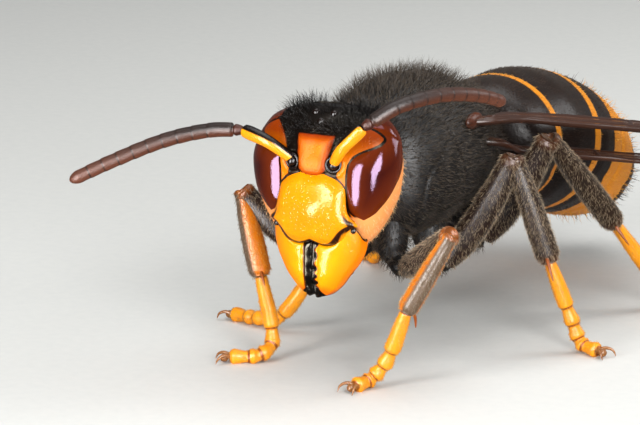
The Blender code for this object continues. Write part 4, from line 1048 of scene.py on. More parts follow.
def make_wing(name, wing, side, letter):
    """One wing: a thin blade whose upper face is t from 0 to 0.5 and whose lower face is the rest."""
    middle, width = path_through(wing["middle"]), curve_through(wing["width"])
    chord = Vector((-math.cos(WING_TILT), 0, math.sin(WING_TILT)))
    length = (Vector(wing["middle"][-1]) - Vector(wing["middle"][0])).length
    lines = []
    for line in wing["veins"]:
        knots = [Vector((a * length, b * width(a), 0)) for a, b in line]
        way = path_through(knots) if len(knots) > 2 else (lambda f, a=knots[0], b=knots[1]: a.lerp(b, f))
        lines += [(way(k / VEIN_STEPS), way((k + 1) / VEIN_STEPS)) for k in range(VEIN_STEPS)]
    starts = np.array([tuple(a) for a, b in lines])
    runs = np.array([tuple(b - a) for a, b in lines])
    squares = (runs ** 2).sum(axis=1)

    def vein(s, t):
        """1 on the middle of a vein, 0 out on the film."""
        here = np.array((s * length, t * width(s), 0))
        f = np.clip(((here - starts) * runs).sum(axis=1) / squares, 0, 1)
        nearest = np.sqrt(((starts + runs * f[:, None] - here) ** 2).sum(axis=1)).min()
        return max(1 - (nearest / VEIN_REACH) ** 2, 0)

    def surface(s, t):
        ahead = (middle(min(s + 0.01, 1)) - middle(max(s - 0.01, 0))).normalized()
        sideways = (chord - ahead * chord.dot(ahead)).normalized()
        normal = ahead.cross(sideways)
        if normal.z < 0:
            normal = -normal
        front = t < 0.5
        part = 2 * t if front else 2 - 2 * t
        raised = math.sqrt(vein(s, part)) * VEIN_HEIGHT + FILM
        spot = Vector((s * length * CRINKLE[1], part * width(s) * CRINKLE[2], 3.0))
        raised += CRINKLE[0] * noise.noise(spot)
        place = middle(s) + sideways * (part - 0.5) * width(s) * (1 if s < WING_END[0] else WING_END[1])
        place += normal * (WING_CAMBER * math.sin(math.pi * part) + (raised if front else -raised))
        return Vector((side * place.x, place.y, place.z))
    blade = skin(f"{name}_wing_film_{letter}", surface, 260, 96, poles=(True, True))
    paint(blade, vein=lambda s, t, p: vein(s, 2 * t if t < 0.5 else 2 - 2 * t))
    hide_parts(f"{name}_wing_{letter}")
    return blade


wings = [make_wing(name, wing, side, letter) for side, letter in SIDES for name, wing in WINGS.items()]
tegulae = [ball("tegula_scale_" + letter, (TEGULA_AT[0] * side, *TEGULA_AT[1:]), TEGULA_SIZE, 24, 32)
           for side, letter in SIDES]
for scale, letter in zip(tegulae, "lr"):
    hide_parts("tegula_" + letter)
print("wings", sum(len(wing.data.polygons) for wing in wings), "faces")

# %% [markdown]
# Six legs stand in six different ways, but each pair has the same build. So what a pair shares is
# written once, with the left hip, and each leg adds only where its knee, ankle and foot are. These
# places are where the solids have them, and every foot ends on the floor.

# %% Leg lines
# For each pair: the left hip's line, how thick the legs are, their spurs and how long these are
PAIRS = {
    "fore": dict(hip=((0.85, -3.35, 5.0), (1.0, -3.65, 4.1), (1.3, -3.85, 3.6), (1.75, -4.05, 3.42)),
                 thick=0.94, spurs=1, spur=0.6),
    "mid": dict(hip=((0.9, -0.95, 4.9), (1.1, -1.05, 3.75), (1.5, -1.2, 3.2), (1.95, -1.35, 3.05)),
                thick=1.0, spurs=2, spur=0.85),
    "hind": dict(hip=((0.9, 1.1, 5.2), (1.1, 1.25, 4.0), (1.45, 1.4, 3.45), (1.9, 1.6, 3.3)),
                 thick=1.05, spurs=2, spur=0.85),
}
# For each leg: the knee, the ankle, and the line of the foot to its toe
LEGS = {
    "fore_leg_l": dict(knee=(4.50, -6.00, 5.35), ankle=(3.22, -6.78, 2.72),
                       foot=((2.52, -6.80, 0.98), (2.02, -7.05, 0.30), (1.80, -7.75, 0.20))),
    "fore_leg_r": dict(knee=(-4.12, -5.00, 5.72), ankle=(-3.14, -5.40, 2.88),
                       foot=((-2.72, -5.35, 0.66), (-2.82, -6.00, 0.27), (-3.75, -6.55, 0.20))),
    "mid_leg_l": dict(knee=(4.10, -0.60, 6.90), ankle=(5.20, 0.00, 3.20),
                      foot=((5.85, 0.42, 1.15), (6.25, 0.45, 0.32), (7.00, 0.25, 0.20))),
    "mid_leg_r": dict(knee=(-4.45, -0.80, 6.05), ankle=(-3.05, -1.75, 2.25),
                      foot=((-4.25, -2.05, 0.55), (-5.20, -1.85, 0.30), (-6.50, -1.50, 0.20))),
    "hind_leg_l": dict(knee=(4.14, 2.02, 7.05), ankle=(4.95, 5.70, 3.30),
                       foot=((6.00, 7.00, 1.10), (6.45, 7.50, 0.32), (7.45, 8.15, 0.20))),
    "hind_leg_r": dict(knee=(-4.20, 2.12, 6.95), ankle=(-4.75, 5.95, 3.20),
                       foot=((-5.50, 7.45, 1.05), (-5.90, 8.00, 0.32), (-6.80, 8.65, 0.20))),
}
COXA_ROWS = ((0, 0.5, 0.5), (0.30, 0.62, 0.62), (0.52, 0.56, 0.56), (0.70, 0.38, 0.38),
             (0.76, 0.35, 0.35), (0.88, 0.40, 0.40), (1, 0.32, 0.32))
FEMUR_ROWS = ((0, 0.26, 0.26), (0.05, 0.33, 0.35), (0.25, 0.43, 0.49), (0.55, 0.43, 0.49),
              (0.82, 0.36, 0.41), (0.90, 0.35, 0.39), (0.96, 0.38, 0.40), (1, 0.28, 0.30))
TIBIA_ROWS = ((0, 0.20, 0.22), (0.03, 0.30, 0.32), (0.09, 0.27, 0.29), (0.30, 0.32, 0.36),
              (0.70, 0.36, 0.42), (0.93, 0.36, 0.41), (1, 0.27, 0.29))
THIGH_BOW = 0.12
SPUR_LINE = ((-0.45, 0.18), (0.10, 0.62), (0.62, 0.86))         # down the shin, and out from it
SPUR_ROWS = ((0, 0.07, 0.07), (0.4, 0.06, 0.06), (0.9, 0.028, 0.028), (1, 0.01, 0.01))
# Places of a claw from the toe: ahead, to the side and up
CLAW_LINE = ((-0.1, 0.08, 0), (0.16, 0.22, 0.1), (0.36, 0.33, 0.02), (0.46, 0.35, -0.17))
CLAW_ROWS = ((0, 0.08, 0.08), (0.4, 0.06, 0.06), (0.8, 0.035, 0.035), (1, 0.01, 0.01))
PAD_AT, PAD_SIZE = (0.16, -0.03), (0.15, 0.15, 0.14)            # ahead of the toe and up from it
TARSOMERE_ENDS = (0.0, 0.44, 0.61, 0.74, 0.84, 1.0)
print(len(LEGS), "legs in", len(PAIRS), "pairs")

# %% [markdown]
# A leg has a stout hip joint, a spindle-shaped thigh, a shin with spurs at its end, and a foot of five
# little cones that ends in two claws with a pad between them. Each piece is a tube that starts inside
# the one before it, so no gap shows at a joint.

# %% Legs
spurs = []


def tarsus_rows():
    """Five joints of the foot, each a cone that widens to its outer end."""
    rows = [(0, 0.16, 0.16)]
    for start, end in zip(TARSOMERE_ENDS, TARSOMERE_ENDS[1:]):
        rows += [(start + 0.015, 0.20, 0.20), (end - 0.03, 0.28, 0.27), (end - 0.008, 0.25, 0.24)]
    return rows[:-1] + [(0.975, 0.25, 0.24), (0.992, 0.18, 0.18), (1.0, 0.06, 0.06)]


def make_leg(name, leg):
    """One leg: its four named pieces, and its claws and pad. Its spurs go to the list of spurs."""
    pair, mirror = PAIRS[name.split("_")[0]], 1 if name.endswith("l") else -1
    hip = [(x * mirror, y, z) for x, y, z in pair["hip"]]
    coxa_end, knee, ankle = Vector(hip[-1]), Vector(leg["knee"]), Vector(leg["ankle"])
    across = (knee - coxa_end).cross(Vector(leg["foot"][1]) - knee).normalized()

    def sized(rows):
        return [(f, wide * pair["thick"], deep * pair["thick"]) for f, wide, deep in rows]
    bow = (knee - coxa_end).cross(across).normalized() * THIGH_BOW
    thigh = (coxa_end, (coxa_end + knee) / 2 - bow, knee)
    pieces = {
        "coxa": tube(name + "_hip", hip, sized(COXA_ROWS), 28, across, 50),
        "femur": tube(name + "_thigh", thigh, sized(FEMUR_ROWS), 28, across, 60),
        "tibia": tube(name + "_shin", (knee, (knee + ankle) / 2, ankle), sized(TIBIA_ROWS), 28, across, 60),
        "tarsus": tube(name + "_foot", (ankle, *leg["foot"]), tarsus_rows(), 24, across, 120),
    }
    for part, piece in pieces.items():
        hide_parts(name + "_" + part)
        paint(piece, along=lambda s, t, p: s, outer=lambda s, t, p: math.sin(2 * math.pi * t),
              joint=lambda s, t, p: min(abs(s - end) for end in TARSOMERE_ENDS))
    down = (Vector(leg["foot"][0]) - ankle).normalized()
    reach = pair["spur"]
    for k in range(pair["spurs"]):
        lean = across if k == 0 else -across
        line = [ankle + down * along * reach + lean * out * reach for along, out in SPUR_LINE]
        spurs.append(tube(f"{name}_spur_{k + 1}", line, SPUR_ROWS, 12, tuple(down.orthogonal()), 20))
    toe = Vector(leg["foot"][-1])
    ahead = toe - Vector(leg["foot"][-2])
    ahead.z = 0
    ahead.normalize()
    sideways = ahead.cross(Vector((0, 0, 1))).normalized()
    extras = []
    for hand, letter in ((-1, "a"), (1, "b")):
        line = [toe + ahead * along + sideways * out * hand + Vector((0, 0, lift))
                for along, out, lift in CLAW_LINE]
        extras.append(tube(f"{name}_claw_{letter}", line, CLAW_ROWS, 12, (0, 0, 1), 24))
    extras.append(ball(name + "_pad", toe + ahead * PAD_AT[0] + Vector((0, 0, PAD_AT[1])), PAD_SIZE))
    return pieces, extras


legs = {name: make_leg(name, leg) for name, leg in LEGS.items()}
claws = [extra for pieces, extras in legs.values() for extra in extras]


def leg_pieces(part, *pairs):
    """One part of the legs, of all pairs or only of those named."""
    return [pieces[part] for name, (pieces, extras) in legs.items() if name.split("_")[0] in (pairs or PAIRS)]


# %% [markdown]
# The compound eyes are lacquer-smooth and a deep red-brown, with painted shade that darkens each dome
# towards its middle, and a thin darker line along its rim. The lenses are hexagons three hundredths
# of a millimetre across. They are drawn here a little coarser and very shallow, so that they only
# soften the edge of each reflection.

# %% Eye finish
LENS = 0.045                    # millimetres; a real lens is 0.03, too fine to show
LENS_HEIGHT = 0.003
eye_lacquer, tree, shader = finish_of("eye_lacquer", Roughness=0.08, IOR=1.5, Specular_IOR_Level=0.4,
                                      Specular_Tint="#dcc0ea")
place = add(tree, "TexCoord").outputs["Object"]
lenses = add(tree, "TexVoronoi", {"Vector": place, "Scale": 1 / (LENS * MM)})
red = mottled(tree, 1.2, 2.0, "#4c1905", "#762e09")
# The first layer is painted shade, darker towards the middle of each dome; the second is the dark line at the
# rim
fill(tree, shader, {
    "Base Color": painted(tree, red, ("@rim", 0.1, 0.9, "#380f06"), ("@rim", 0.05, 0.02, "#200a05")),
    "Normal": add(tree, "Bump", {"Height": lenses, "Distance": LENS_HEIGHT * MM, "Strength": 0.4})})
dress(eye_lacquer, *eyes.values())

# %% [markdown]
# The yellow plates of the face are glossy and slightly see-through. Light goes a little way in and
# comes out again warmer, so they get a thin layer of scattering under the gloss, with sparse
# shallow pits a tenth of a millimetre apart.

# %% Yellow plates
# Colour of painted shade in the creases where the clypeus overhangs the jaws and where the jaws meet the
# cheeks
PAINTED_CREASE_SHADE = "#2a1006"
TANNED_BLACK = "#080403"


def yellow_chitin(name, pit_depth, deep, light):
    """A material, its nodes and shader, and its mottled yellow, not yet linked."""
    made, tree, shader = finish_of(name, Roughness=0.2, IOR=1.5, Specular_IOR_Level=0.3,
                                   Specular_Tint="#fff3da", Subsurface_Weight=0.12,
                                   Subsurface_Scale=0.2 * MM, Subsurface_Radius=(1.0, 0.4, 0.1))
    dips = pits(tree, 0.11, 0.35)
    dented = add(tree, "Bump", {"Height": dips, "Distance": pit_depth * MM, "Strength": 0.7})
    fill(tree, shader, {"Normal": dented})
    return made, tree, shader, mottled(tree, 0.9, 3.0, deep, light)


clypeus_shell, tree, shader, amber = yellow_chitin("clypeus_shell", 0.018, "#ec8000", "#fa9c00")
# Painted shade: a dark line along the clypeus's lower margin and its wall, where it overhangs the jaws
foot_shade = add(tree, "Math", {0: "@low", 1: -0.35, 2: "@rim"}, operation="MULTIPLY_ADD")
fill(tree, shader, {"Base Color": painted(tree, amber, (foot_shade, -0.20, -0.25, PAINTED_CREASE_SHADE))})
dress(clypeus_shell, clypeus)

# On the jaws: painted shade in the groove where the base tucks under the cheek, a redder base and tip, the
# black cutting edge, and the black tip
jaw_shell, tree, shader, amber = yellow_chitin("jaw_shell", 0.006, "#f28a00", "#ffab00")
cheek_shade = add(tree, "Math", {0: "@outer", 1: 0.06, 2: "@along"}, operation="MULTIPLY_ADD")
tip = add(tree, "Math", {0: "@inner", 1: -0.22, 2: "@along"}, operation="MULTIPLY_ADD")
fill(tree, shader, {"Base Color": painted(
    tree, amber, ("@outer", 0.5, 0.0, "#ee7a00"), ("@along", 0.75, 0.85, "#d96400"),
    (cheek_shade, 0.03, 0.02, PAINTED_CREASE_SHADE), ("@inner", 0.03, 0.01, "#5a1a06"),
    ("@inner", 0.0, -0.03, TANNED_BLACK), (tip, 0.83, 0.85, TANNED_BLACK))})
dress(jaw_shell, *jaws)

# %% [markdown]
# The head capsule is black behind and yellow-orange in front: the plate between the feelers, the
# strip along the inside of each eye, and the cheeks. The borders are crisp, as they are on the
# insect, because they follow the distances that were stored on the shell's points.

# %% Head finish
def head_colours(tree):
    """Black crown, red-edged yellow plate, yellow orbits and peach cheeks."""
    black = mottled(tree, 0.5, 3.0, "#050403", "#130c09")
    orange = mottled(tree, 0.5, 3.0, "#d45e00", "#ee8400")
    high = painted(tree, orange, ("@tall", 0.7, 1.5, "#8a3202"))
    plate = painted(tree, "#a03600", ("@shield", 0.03, 0.32, orange))
    return painted(tree, black, ("@shield", -0.02, 0.02, plate),
                   ("@orbit", -0.02, 0.02, high), ("@clypeus_rim", 0.075, 0.05, "#1a0a05"),
                   ("@eye_rim", 0.032, 0.02, "#060302"), ("@cheek", 0.2, 0.8, "#ee9a58"))


head_shell, tree, shader = finish_of("head_shell", IOR=1.5, Specular_IOR_Level=0.1, Specular_Tint="#fff3da")
velvet = add(tree, "MapRange", {"Value": "@shield", "From Min": -0.02, "From Max": 0.02,
                                "To Min": 0.3, "To Max": 0.4})
dips = pits(tree, 0.1, 0.4)
fill(tree, shader, {"Base Color": head_colours(tree), "Roughness": velvet,
                    "Normal": add(tree, "Bump", {"Height": dips, "Distance": 0.014 * MM, "Strength": 0.6})})
dress(head_shell, head)

# %% [markdown]
# The rest of the shell is darker: black on the thorax, brown on the legs, grey-brown on the feelers.
# All of it is covered by very short hair that catches light at the edges. The sheen stands for the
# part of that hair that is too fine to model, and fine noise in the bump breaks up the gloss.

# %% Dark and amber shells
FUZZ_HEIGHT = 0.02


def shell_finish(name, deep, pale, roughness, *layers, bristle=0.06, velvet=0.15):
    """Tanned shell with a colour between deep and pale, under fuzz a bristle in millimetres apart."""
    made, tree, shader = finish_of(name, Roughness=roughness, IOR=1.5, Specular_IOR_Level=0.28,
                                   Sheen_Weight=velvet, Sheen_Roughness=0.35, Sheen_Tint="#a89884")
    place = add(tree, "TexCoord").outputs["Object"]
    fuzz = add(tree, "TexNoise", {"Vector": place, "Scale": 1 / (bristle * MM), "Detail": 3.0})
    rough = add(tree, "Bump", {"Height": fuzz, "Distance": FUZZ_HEIGHT * MM, "Strength": 0.6})
    ground = mottled(tree, 0.6, 4.0, deep, pale)
    fill(tree, shader, {"Base Color": painted(tree, ground, *layers), "Normal": rough})
    return made


KNEE, DARK_KNEE = "#8a4812", "#43240f"
thorax_shell = shell_finish("thorax_shell", "#040303", "#110c0a", 0.5, velvet=0.1)
thigh_shell, dark_thigh = (shell_finish(name, "#120905", "#2e190e", 0.36, ("@along", 0.90, 0.96, knee))
                           for name, knee in (("thigh_shell", KNEE), ("dark_thigh", DARK_KNEE)))
dark_shin = shell_finish("dark_shin", "#160c07", "#33200f", 0.36, ("@along", 0.09, 0.02, DARK_KNEE),
                         ("@along", 0.90, 0.98, DARK_KNEE))
amber_shin = shell_finish("amber_shin", "#c06204", "#de800a", 0.3, ("@outer", 0.45, 0.75, "#5e4a38"),
                          ("@along", 0.06, 0.02, KNEE))
foot_shell = shell_finish("foot_shell", "#e08408", "#f8a416", 0.32, ("@joint", 0.014, 0.006, "#8c4206"))
lash_shell = shell_finish("lash_shell", "#120a08", "#281812", 0.4, ("@top", 0.10, -0.16, "#5a2e1a"),
                          ("@along", 0.3, 1.9, "#7a4632"), ("@joint", 0.006, 0.001, "#1c100b"),
                          ("@along", PEDICEL_END, PEDICEL_END - 0.008, "#3e180a"), velvet=0.1)
scape_shell = shell_finish("scape_shell", "#e88606", "#fca810", 0.22, ("@top", -0.03, 0.01, "#0c0503"),
                           velvet=0.0)
socket_shell = shell_finish("socket_shell", "#080404", "#1c0f0a", 0.25, velvet=0.0)
dark_horn = shell_finish("dark_horn", "#080403", "#1c0d07", 0.2, velvet=0.0)
brown_horn = shell_finish("brown_horn", "#6e3e1c", "#a87444", 0.25, velvet=0.0)
rust_shell = shell_finish("rust_shell", "#38150a", "#5c2a10", 0.3, velvet=0.1)
dress(thorax_shell, thorax, neck, *leg_pieces("coxa"))
dress(lash_shell, *lashes.values())
dress(scape_shell, *scapes.values())
dress(socket_shell, *socket_rings)
dress(rust_shell, *tegulae)
dress(dark_horn, tongue, *palps, *ocelli, *hinges)
dress(brown_horn, *claws)
dress(thigh_shell, *leg_pieces("femur", "fore"))
dress(dark_thigh, *leg_pieces("femur", "mid", "hind"))
dress(amber_shin, *leg_pieces("tibia", "fore"))
dress(dark_shin, *leg_pieces("tibia", "mid", "hind"))
dress(foot_shell, *leg_pieces("tarsus"), *spurs)

# %% [markdown]
# The gaster is dark brown, with a thin yellow hem on the first three rings, a fourth ring that is
# nearly all yellow-orange, and a brown-orange tip. That single broad yellow ring is what people
# know this hornet by.

# %% Gaster finish
gaster_finish = shell_finish("gaster_finish", "#0c0604", "#22120a", 0.34, ("@behind", 12.4, 14.2, "#5a2a0e"),
                             ("@gold", -0.03, 0.03, "#e28a10"), bristle=0.08)
dress(gaster_finish, gaster)

# %% [markdown]
# The wing film is a smoky brown that lets some light through, and its veins are darker and solid.

# %% Wing finish
wing_film, tree, shader = finish_of("wing_film", Roughness=0.34, IOR=1.5, Specular_IOR_Level=0.35)
place = add(tree, "TexCoord").outputs["Object"]
ripple = add(tree, "TexNoise", {"Vector": place, "Scale": 1 / (0.5 * MM), "Detail": 2.0})
solid = add(tree, "MapRange", {"Value": "@vein", "From Min": 0.0, "From Max": 0.2,
                               "To Min": 0.55, "To Max": 1.0})
fill(tree, shader, {"Base Color": painted(tree, "#5e3a28", ("@vein", 0.0, 0.25, "#3a2014")), "Alpha": solid,
                    "Normal": add(tree, "Bump", {"Height": ripple, "Distance": 0.03 * MM, "Strength": 0.5})})
dress(wing_film, *wings)

# %% [markdown]
# Hair is what makes the insect look alive. A hair's root is a random place on a skin, picked by area
# and by how hairy that place is. It takes over the skin's stored marks, so that it can have the
# same colour as the shell under it. The dice are seeded, so every run grows the same coat.

# %% Hair roots
SEED = 7
rng = np.random.default_rng(SEED)


def column(mesh, layer, size):
    """A stored mark of a mesh as an array with one row per point."""
    values = np.zeros(len(mesh.vertices) * size, np.float32)
    mesh.attributes[layer].data.foreach_get("vector" if size == 3 else "value", values)
    return values.reshape(-1, size).astype(float)


def roots(host, count, keep):
    """Random places on a skin: position, normal, (s, t) and the marks there, in millimetres."""
    mesh = host.data
    mesh.calc_loop_triangles()
    corners = np.zeros(len(mesh.loop_triangles) * 3, int)
    mesh.loop_triangles.foreach_get("vertices", corners)
    corners = corners.reshape(-1, 3)
    spots = np.zeros(len(mesh.vertices) * 3)
    mesh.vertices.foreach_get("co", spots)
    spots = spots.reshape(-1, 3) / MM + np.array(OUTLINE_MIDDLE)
    normals = np.zeros(len(mesh.vertices) * 3)
    mesh.vertex_normals.foreach_get("vector", normals)
    normals = normals.reshape(-1, 3)
    marks = {layer.name: column(mesh, layer.name, 1) for layer in mesh.attributes
             if layer.data_type == "FLOAT" and layer.domain == "POINT"}
    a, b, c = (spots[corners[:, k]] for k in range(3))
    area = np.linalg.norm(np.cross(b - a, c - a), axis=1)
    middle = {name: values[corners].mean(axis=1)[:, 0] for name, values in marks.items()}
    weight = area * keep((a + b + c) / 3, normals[corners].mean(axis=1), middle)
    chosen = rng.choice(len(corners), count, p=weight / weight.sum())
    share = rng.random((count, 2))
    share = np.where(share.sum(axis=1, keepdims=True) > 1, 1 - share, share)
    share = np.column_stack([1 - share.sum(axis=1), share])[:, :, None]
    places = column(mesh, "place", 3)[corners[chosen]][:, :, :2]
    wrapped = (places[:, :, 1].max(axis=1) - places[:, :, 1].min(axis=1)) > 0.5
    places[wrapped, :, 1] += places[wrapped, :, 1] < 0.5
    return ((spots[corners[chosen]] * share).sum(axis=1), (normals[corners[chosen]] * share).sum(axis=1),
            (places * share).sum(axis=1) % 1.0,
            {name: (values[corners[chosen]] * share).sum(axis=1)[:, 0] for name, values in marks.items()})


print("the dice are seeded with", SEED)

# %% [markdown]
# Each hair is a solid three-sided spike with one bend, so it needs ten small triangles. A real one is
# a few thousandths of a millimetre thick, which would vanish at this distance, so these are drawn two
# or three times as thick, and fewer. A whole coat is one mesh, built in one go from arrays.

# %% Making hair
ROOT_DEPTH = 0.015              # how deep a hair stands in its skin
HALF_WAY = (0.5, 0.38)          # where along a hair its bend is, and half its width there
UV_MARGIN = 0.015
BAKE_PATCH = 0.003              # how large a hair's patch is on its skin's unwrap
# A hair's points are three round its foot, three round its bend, and its tip
RUN = [0, 0, 0, 0.5, 0.5, 0.5, 1.0]
SPIKE = np.array([(0, 2, 1)] + [face for k in range(3) for face in (
    (k, (k + 1) % 3, 3 + (k + 1) % 3), (k, 3 + (k + 1) % 3, 3 + k), (3 + k, 3 + (k + 1) % 3, 6))])
PATCH = np.array([(-1, -1), (1, -1), (0, 1), (-0.8, 0.2), (0.8, 0.2), (0, 0.9), (0, 0)]) * BAKE_PATCH / 2


def everywhere(points, normals, marks):
    """The same chance of a hair all over a skin."""
    return np.ones(len(points))


def unit(vectors):
    """Vectors as long as one."""
    return vectors / np.maximum(np.linalg.norm(vectors, axis=1, keepdims=True), 1e-9)


def coat(name, hosts, count, length, width, lean, way, keep=everywhere, bend=0.5, wild=0.25):
    """One mesh of hairs on some skins. Lean 0 stands upright and 1 lies flat along the way."""
    parts = [roots(host, count // len(hosts), keep) for host in hosts]
    foot = np.concatenate([part[0] for part in parts])
    normal = unit(np.concatenate([part[1] for part in parts]))
    number = len(foot)
    along = np.tile(np.array(way, float), (number, 1))
    along = unit(along - normal * (along * normal).sum(axis=1, keepdims=True))
    jitter = rng.normal(0, wild, (number, 3))
    rise = unit(normal * (1 - lean) + along * lean + jitter * 0.6)
    tip_way = unit(rise + along * bend + jitter)
    side = unit(np.cross(rise, normal + 0.37 * along + 0.11))
    other = np.cross(rise, side)
    long = (rng.uniform(length[0], length[1], number))[:, None]
    thick = width * rng.uniform(0.8, 1.2, number)[:, None]
    points = np.zeros((number, 7, 3))
    for k in range(3):
        spoke = side * math.cos(2 * math.pi * k / 3) + other * math.sin(2 * math.pi * k / 3)
        points[:, k] = foot - normal * ROOT_DEPTH + spoke * thick / 2
        points[:, 3 + k] = foot + rise * long * HALF_WAY[0] + spoke * thick * HALF_WAY[1]
    points[:, 6] = foot + rise * long * HALF_WAY[0] + tip_way * long * HALF_WAY[0]
    faces = (SPIKE[None] + 7 * np.arange(number)[:, None, None]).reshape(-1)
    mesh = bpy.data.meshes.new(name)
    mesh.vertices.add(7 * number)
    mesh.vertices.foreach_set("co", ((points - np.array(OUTLINE_MIDDLE)) * MM).reshape(-1).astype(np.float32))
    mesh.loops.add(len(faces))
    mesh.loops.foreach_set("vertex_index", faces.astype(np.int32))
    mesh.polygons.add(len(faces) // 3)
    mesh.polygons.foreach_set("loop_start", np.arange(0, len(faces), 3, dtype=np.int32))
    mesh.update(calc_edges=True)
    marks = {"shade": np.repeat(rng.random(number), 7), "run": np.tile(RUN, number)}
    for mark in sorted(set.intersection(*[set(part[3]) for part in parts])):
        marks[mark] = np.repeat(np.concatenate([part[3][mark] for part in parts]), 7)
    for mark, values in marks.items():
        mesh.attributes.new(mark, "FLOAT", "POINT").data.foreach_set("value", values.astype(np.float32))
    # Each skin has its own strip of the unwrap, and a hair's patch lies there where its root is
    places = [part[2] * (1 - 2 * UV_MARGIN) + UV_MARGIN for part in parts]
    tile = np.concatenate([np.column_stack([(place[:, 1] + k) / len(parts), place[:, 0]])
                           for k, place in enumerate(places)])
    spread = (tile[:, None] + PATCH[None]).reshape(-1, 2)[faces]
    mesh.uv_layers.new(name="OFBake").data.foreach_set("uv", spread.reshape(-1).astype(np.float32))
    hairs = bpy.data.objects.new(name, mesh)
    bpy.context.scene.collection.objects.link(hairs)
    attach(hairs, "root")
    print(name, len(faces) // 3, "triangles")
    return hairs


print("each hair has", len(SPIKE), "triangles")

# %% [markdown]
# The crown and the thorax carry long upright dark hair over short grey down. The down lies back
# along the body. Pale hair stands on the cheeks, and the legs and gaster have short hair close to
# the shell, with the skin's own colours.

# %% Coats
# The ways that hair lies, and for each coat: skins, number, lengths, width, lean, way and where
BACKWARD, TAILWARD, DOWN = (0.0, 1.0, -0.1), (0, 1, -0.2), (0, 0, -1)
crown_hair = coat("crown_hair", [head], 1800, (0.25, 0.65), 0.014, 0.15, (0, -0.3, 0.2),
                  lambda p, n, m: (m["shield"] < -0.05) * (m["eye_rim"] > 0.05) * (m["cheek"] < 0.3)
                  * (m["orbit"] < 0) * (m["ocelli"] > 0.2) * np.clip((m["tall"] - 0.9) / 0.6, 0, 1), wild=0.3)
cheek_hair = coat("cheek_hair", [head], 1300, (0.10, 0.26), 0.010, 0.6, (0, 0.6, -1),
                  lambda p, n, m: (m["cheek"] > 0.3) * (m["eye_rim"] > 0.03) + 0.1 * (m["tall"] < -1.9))
back_hair = coat("back_hair", [thorax], 6500, (0.28, 0.70), 0.014, 0.25, BACKWARD,
                 lambda p, n, m: np.clip(n[:, 2] + 0.25, 0.06, 1), wild=0.28)
back_down = coat("back_down", [thorax], 19800, (0.12, 0.24), 0.015, 0.75, BACKWARD, wild=0.18)
hip_hair = coat("hip_hair", leg_pieces("coxa"), 6000, (0.12, 0.4), 0.016, 0.4, (0, 0.2, -1))
thigh_hair = coat("thigh_hair", leg_pieces("femur"), 13200, (0.08, 0.2), 0.013, 0.6, DOWN)
shin_hair = coat("shin_hair", leg_pieces("tibia", "mid", "hind"), 10000, (0.06, 0.18), 0.012, 0.65, DOWN)
fore_shin_hair = coat("fore_shin_hair", leg_pieces("tibia", "fore"), 3000, (0.06, 0.16), 0.012, 0.65, DOWN)
foot_hair = coat("foot_hair", leg_pieces("tarsus"), 7200, (0.05, 0.14), 0.012, 0.65, DOWN,
                 lambda p, n, m: p[:, 2] > 0.12)
gaster_hair = coat("gaster_hair", [gaster], 19000, (0.10, 0.24), 0.012, 0.82, TAILWARD, bend=0.2, wild=0.12)
tail_hair = coat("tail_hair", [gaster], 900, (0.25, 0.5), 0.016, 0.4, TAILWARD,
                 lambda p, n, m: np.clip((p[:, 1] - 9.5) / 4, 0, 1))

# %% [markdown]
# Hair is the same stuff as the shell, drawn out thin: dark and dull at the root, where it shades
# itself, and paler and more see-through at the tip. Two colours blended along each hair give that,
# and a few hairs are paler all along, since a coat of one even colour looks like felt. Where a
# marking runs under the coat, the hair takes its colour from the same stored mark.

# %% Hair finishes
def hair_finish(name, root, tip, *layers):
    """Chitin hair: satin along its length, darker at the root, with some variety between hairs."""
    made, tree, shader = finish_of(name, Roughness=0.5, IOR=1.55, Specular_IOR_Level=0.25)
    ground = add(tree, "Mix", {"Factor": "@run", "A": root, "B": tip}, data_type="RGBA")
    varied = painted(tree, ground, ("@shade", 0.7, 1.0, tip))
    fill(tree, shader, {"Base Color": painted(tree, varied, *layers)})
    return made


dress(hair_finish("crown_hair", "#060403", "#1a120d"), crown_hair)
dress(hair_finish("back_hair", "#0c0907", "#54473a"), back_hair)
dress(hair_finish("grey_down", "#120d0a", "#665644"), back_down, hip_hair)
dress(hair_finish("cheek_hair", "#e09a50", "#f2d9a8"), cheek_hair)
dress(hair_finish("leg_hair", "#6e5840", "#c4ae90"), thigh_hair, shin_hair)
dress(hair_finish("foot_hair", "#c07a14", "#e8b45a"), foot_hair)
dress(hair_finish("fore_shin_hair", "#c87e18", "#e8b45a", ("@outer", 0.4, 0.6, "#8f8270")), fore_shin_hair)
dress(hair_finish("gaster_hair", "#1c100a", "#4a3626", ("@gold", -0.03, 0.03, "#e8a63c")),
      gaster_hair, tail_hair)

# %% [markdown]
# The light is that of a small studio: a large soft box above, two tall ones in front, and one behind
# that draws a bright edge. A glossy dome mirrors each light as a shape of its own, so the two in
# front are kept out of the gloss. Two leaning oval cards, seen in reflections alone, give the eyes
# their long pale streaks in their place. No light shows to the camera from any side.

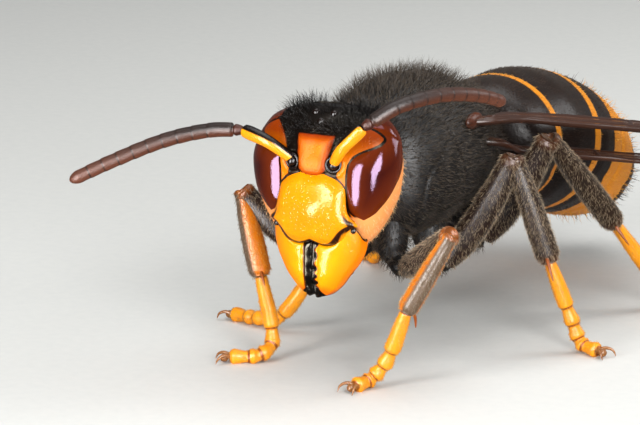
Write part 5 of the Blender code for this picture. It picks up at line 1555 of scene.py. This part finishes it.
# %% Light
def soft_box(name, place, target, sides, power, gloss=True, diffuse=True, lean=0.0, shape="RECTANGLE"):
    """An area light round the hornet, in millimetres, aimed at a target and leaning by some degrees."""
    light = bpy.data.lights.new(name, "AREA")
    light.shape, light.size, light.size_y = shape, sides[0] * MM, sides[1] * MM
    light.energy = power
    lamp = bpy.data.objects.new(name, light)
    lamp.location = in_row(place)
    lamp.rotation_mode = "QUATERNION"
    facing = (Vector(place) - Vector(target)).to_track_quat("Z", "Y")
    lamp.rotation_quaternion = facing @ Quaternion((0, 0, 1), math.radians(-lean))
    lamp.visible_camera, lamp.visible_glossy, lamp.visible_diffuse = False, gloss, diffuse
    bpy.context.scene.collection.objects.link(lamp)


FACE = (0, -7.5, 7)
soft_box("top_box", (5, 15, 110), (0, 0, 5), (100, 100), 0.10)
soft_box("left_box", (69, -66, 36), FACE, (30, 66), 0.085, gloss=False)
soft_box("right_box", (-26, -94, 36), FACE, (30, 66), 0.085, gloss=False)
soft_box("left_card", (23.5, -22, 15.5), (2.2, -7.2, 12.5), (14, 36), 0.042, diffuse=False, lean=18,
         shape="ELLIPSE")
soft_box("right_card", (-4.5, -33.5, 9), (0.9, -8, 12.5), (13, 41), 0.046, diffuse=False, lean=14,
         shape="ELLIPSE")
soft_box("rim_box", (60, 60, 45), (0, 2, 6), (40, 40), 0.035)
world = bpy.data.worlds.new("studio")
world.use_nodes = True
fill(world.node_tree, world.node_tree.nodes["Background"], {"Color": "#e9ecef", "Strength": 0.2})
bpy.context.scene.world = world

# %% [markdown]
# The floor is a sheet of matt coated paper, large enough to run out of sight. It is pale, so it
# throws soft light up under the body. The gloss doesn't see it: the photo's ground is dark, and a
# pale floor mirrored in the eyes and jaws would wash out their colour.

# %% Floor
FLOOR_SIDE = 3000.0
FLOOR_GAP = 0.01                # a hair's breadth under the feet, so that the two surfaces don't flicker
half_side = FLOOR_SIDE / 2 * MM
floor_mesh = bpy.data.meshes.new("floor")
floor_mesh.from_pydata([(x * half_side, y * half_side, -FLOOR_GAP * MM)
                        for x, y in ((-1, -1), (1, -1), (1, 1), (-1, 1))], [], [(0, 1, 2, 3)])
floor = bpy.data.objects.new("floor", floor_mesh)
bpy.context.scene.collection.objects.link(floor)
floor.visible_glossy = False
floor_paper, tree, shader = finish_of("floor_paper", Roughness=0.7, IOR=1.45)
fill(tree, shader, {"Base Color": mottled(tree, 0.4, 3.0, "#c9cac7", "#d2d2ce")})
dress(floor_paper, floor)
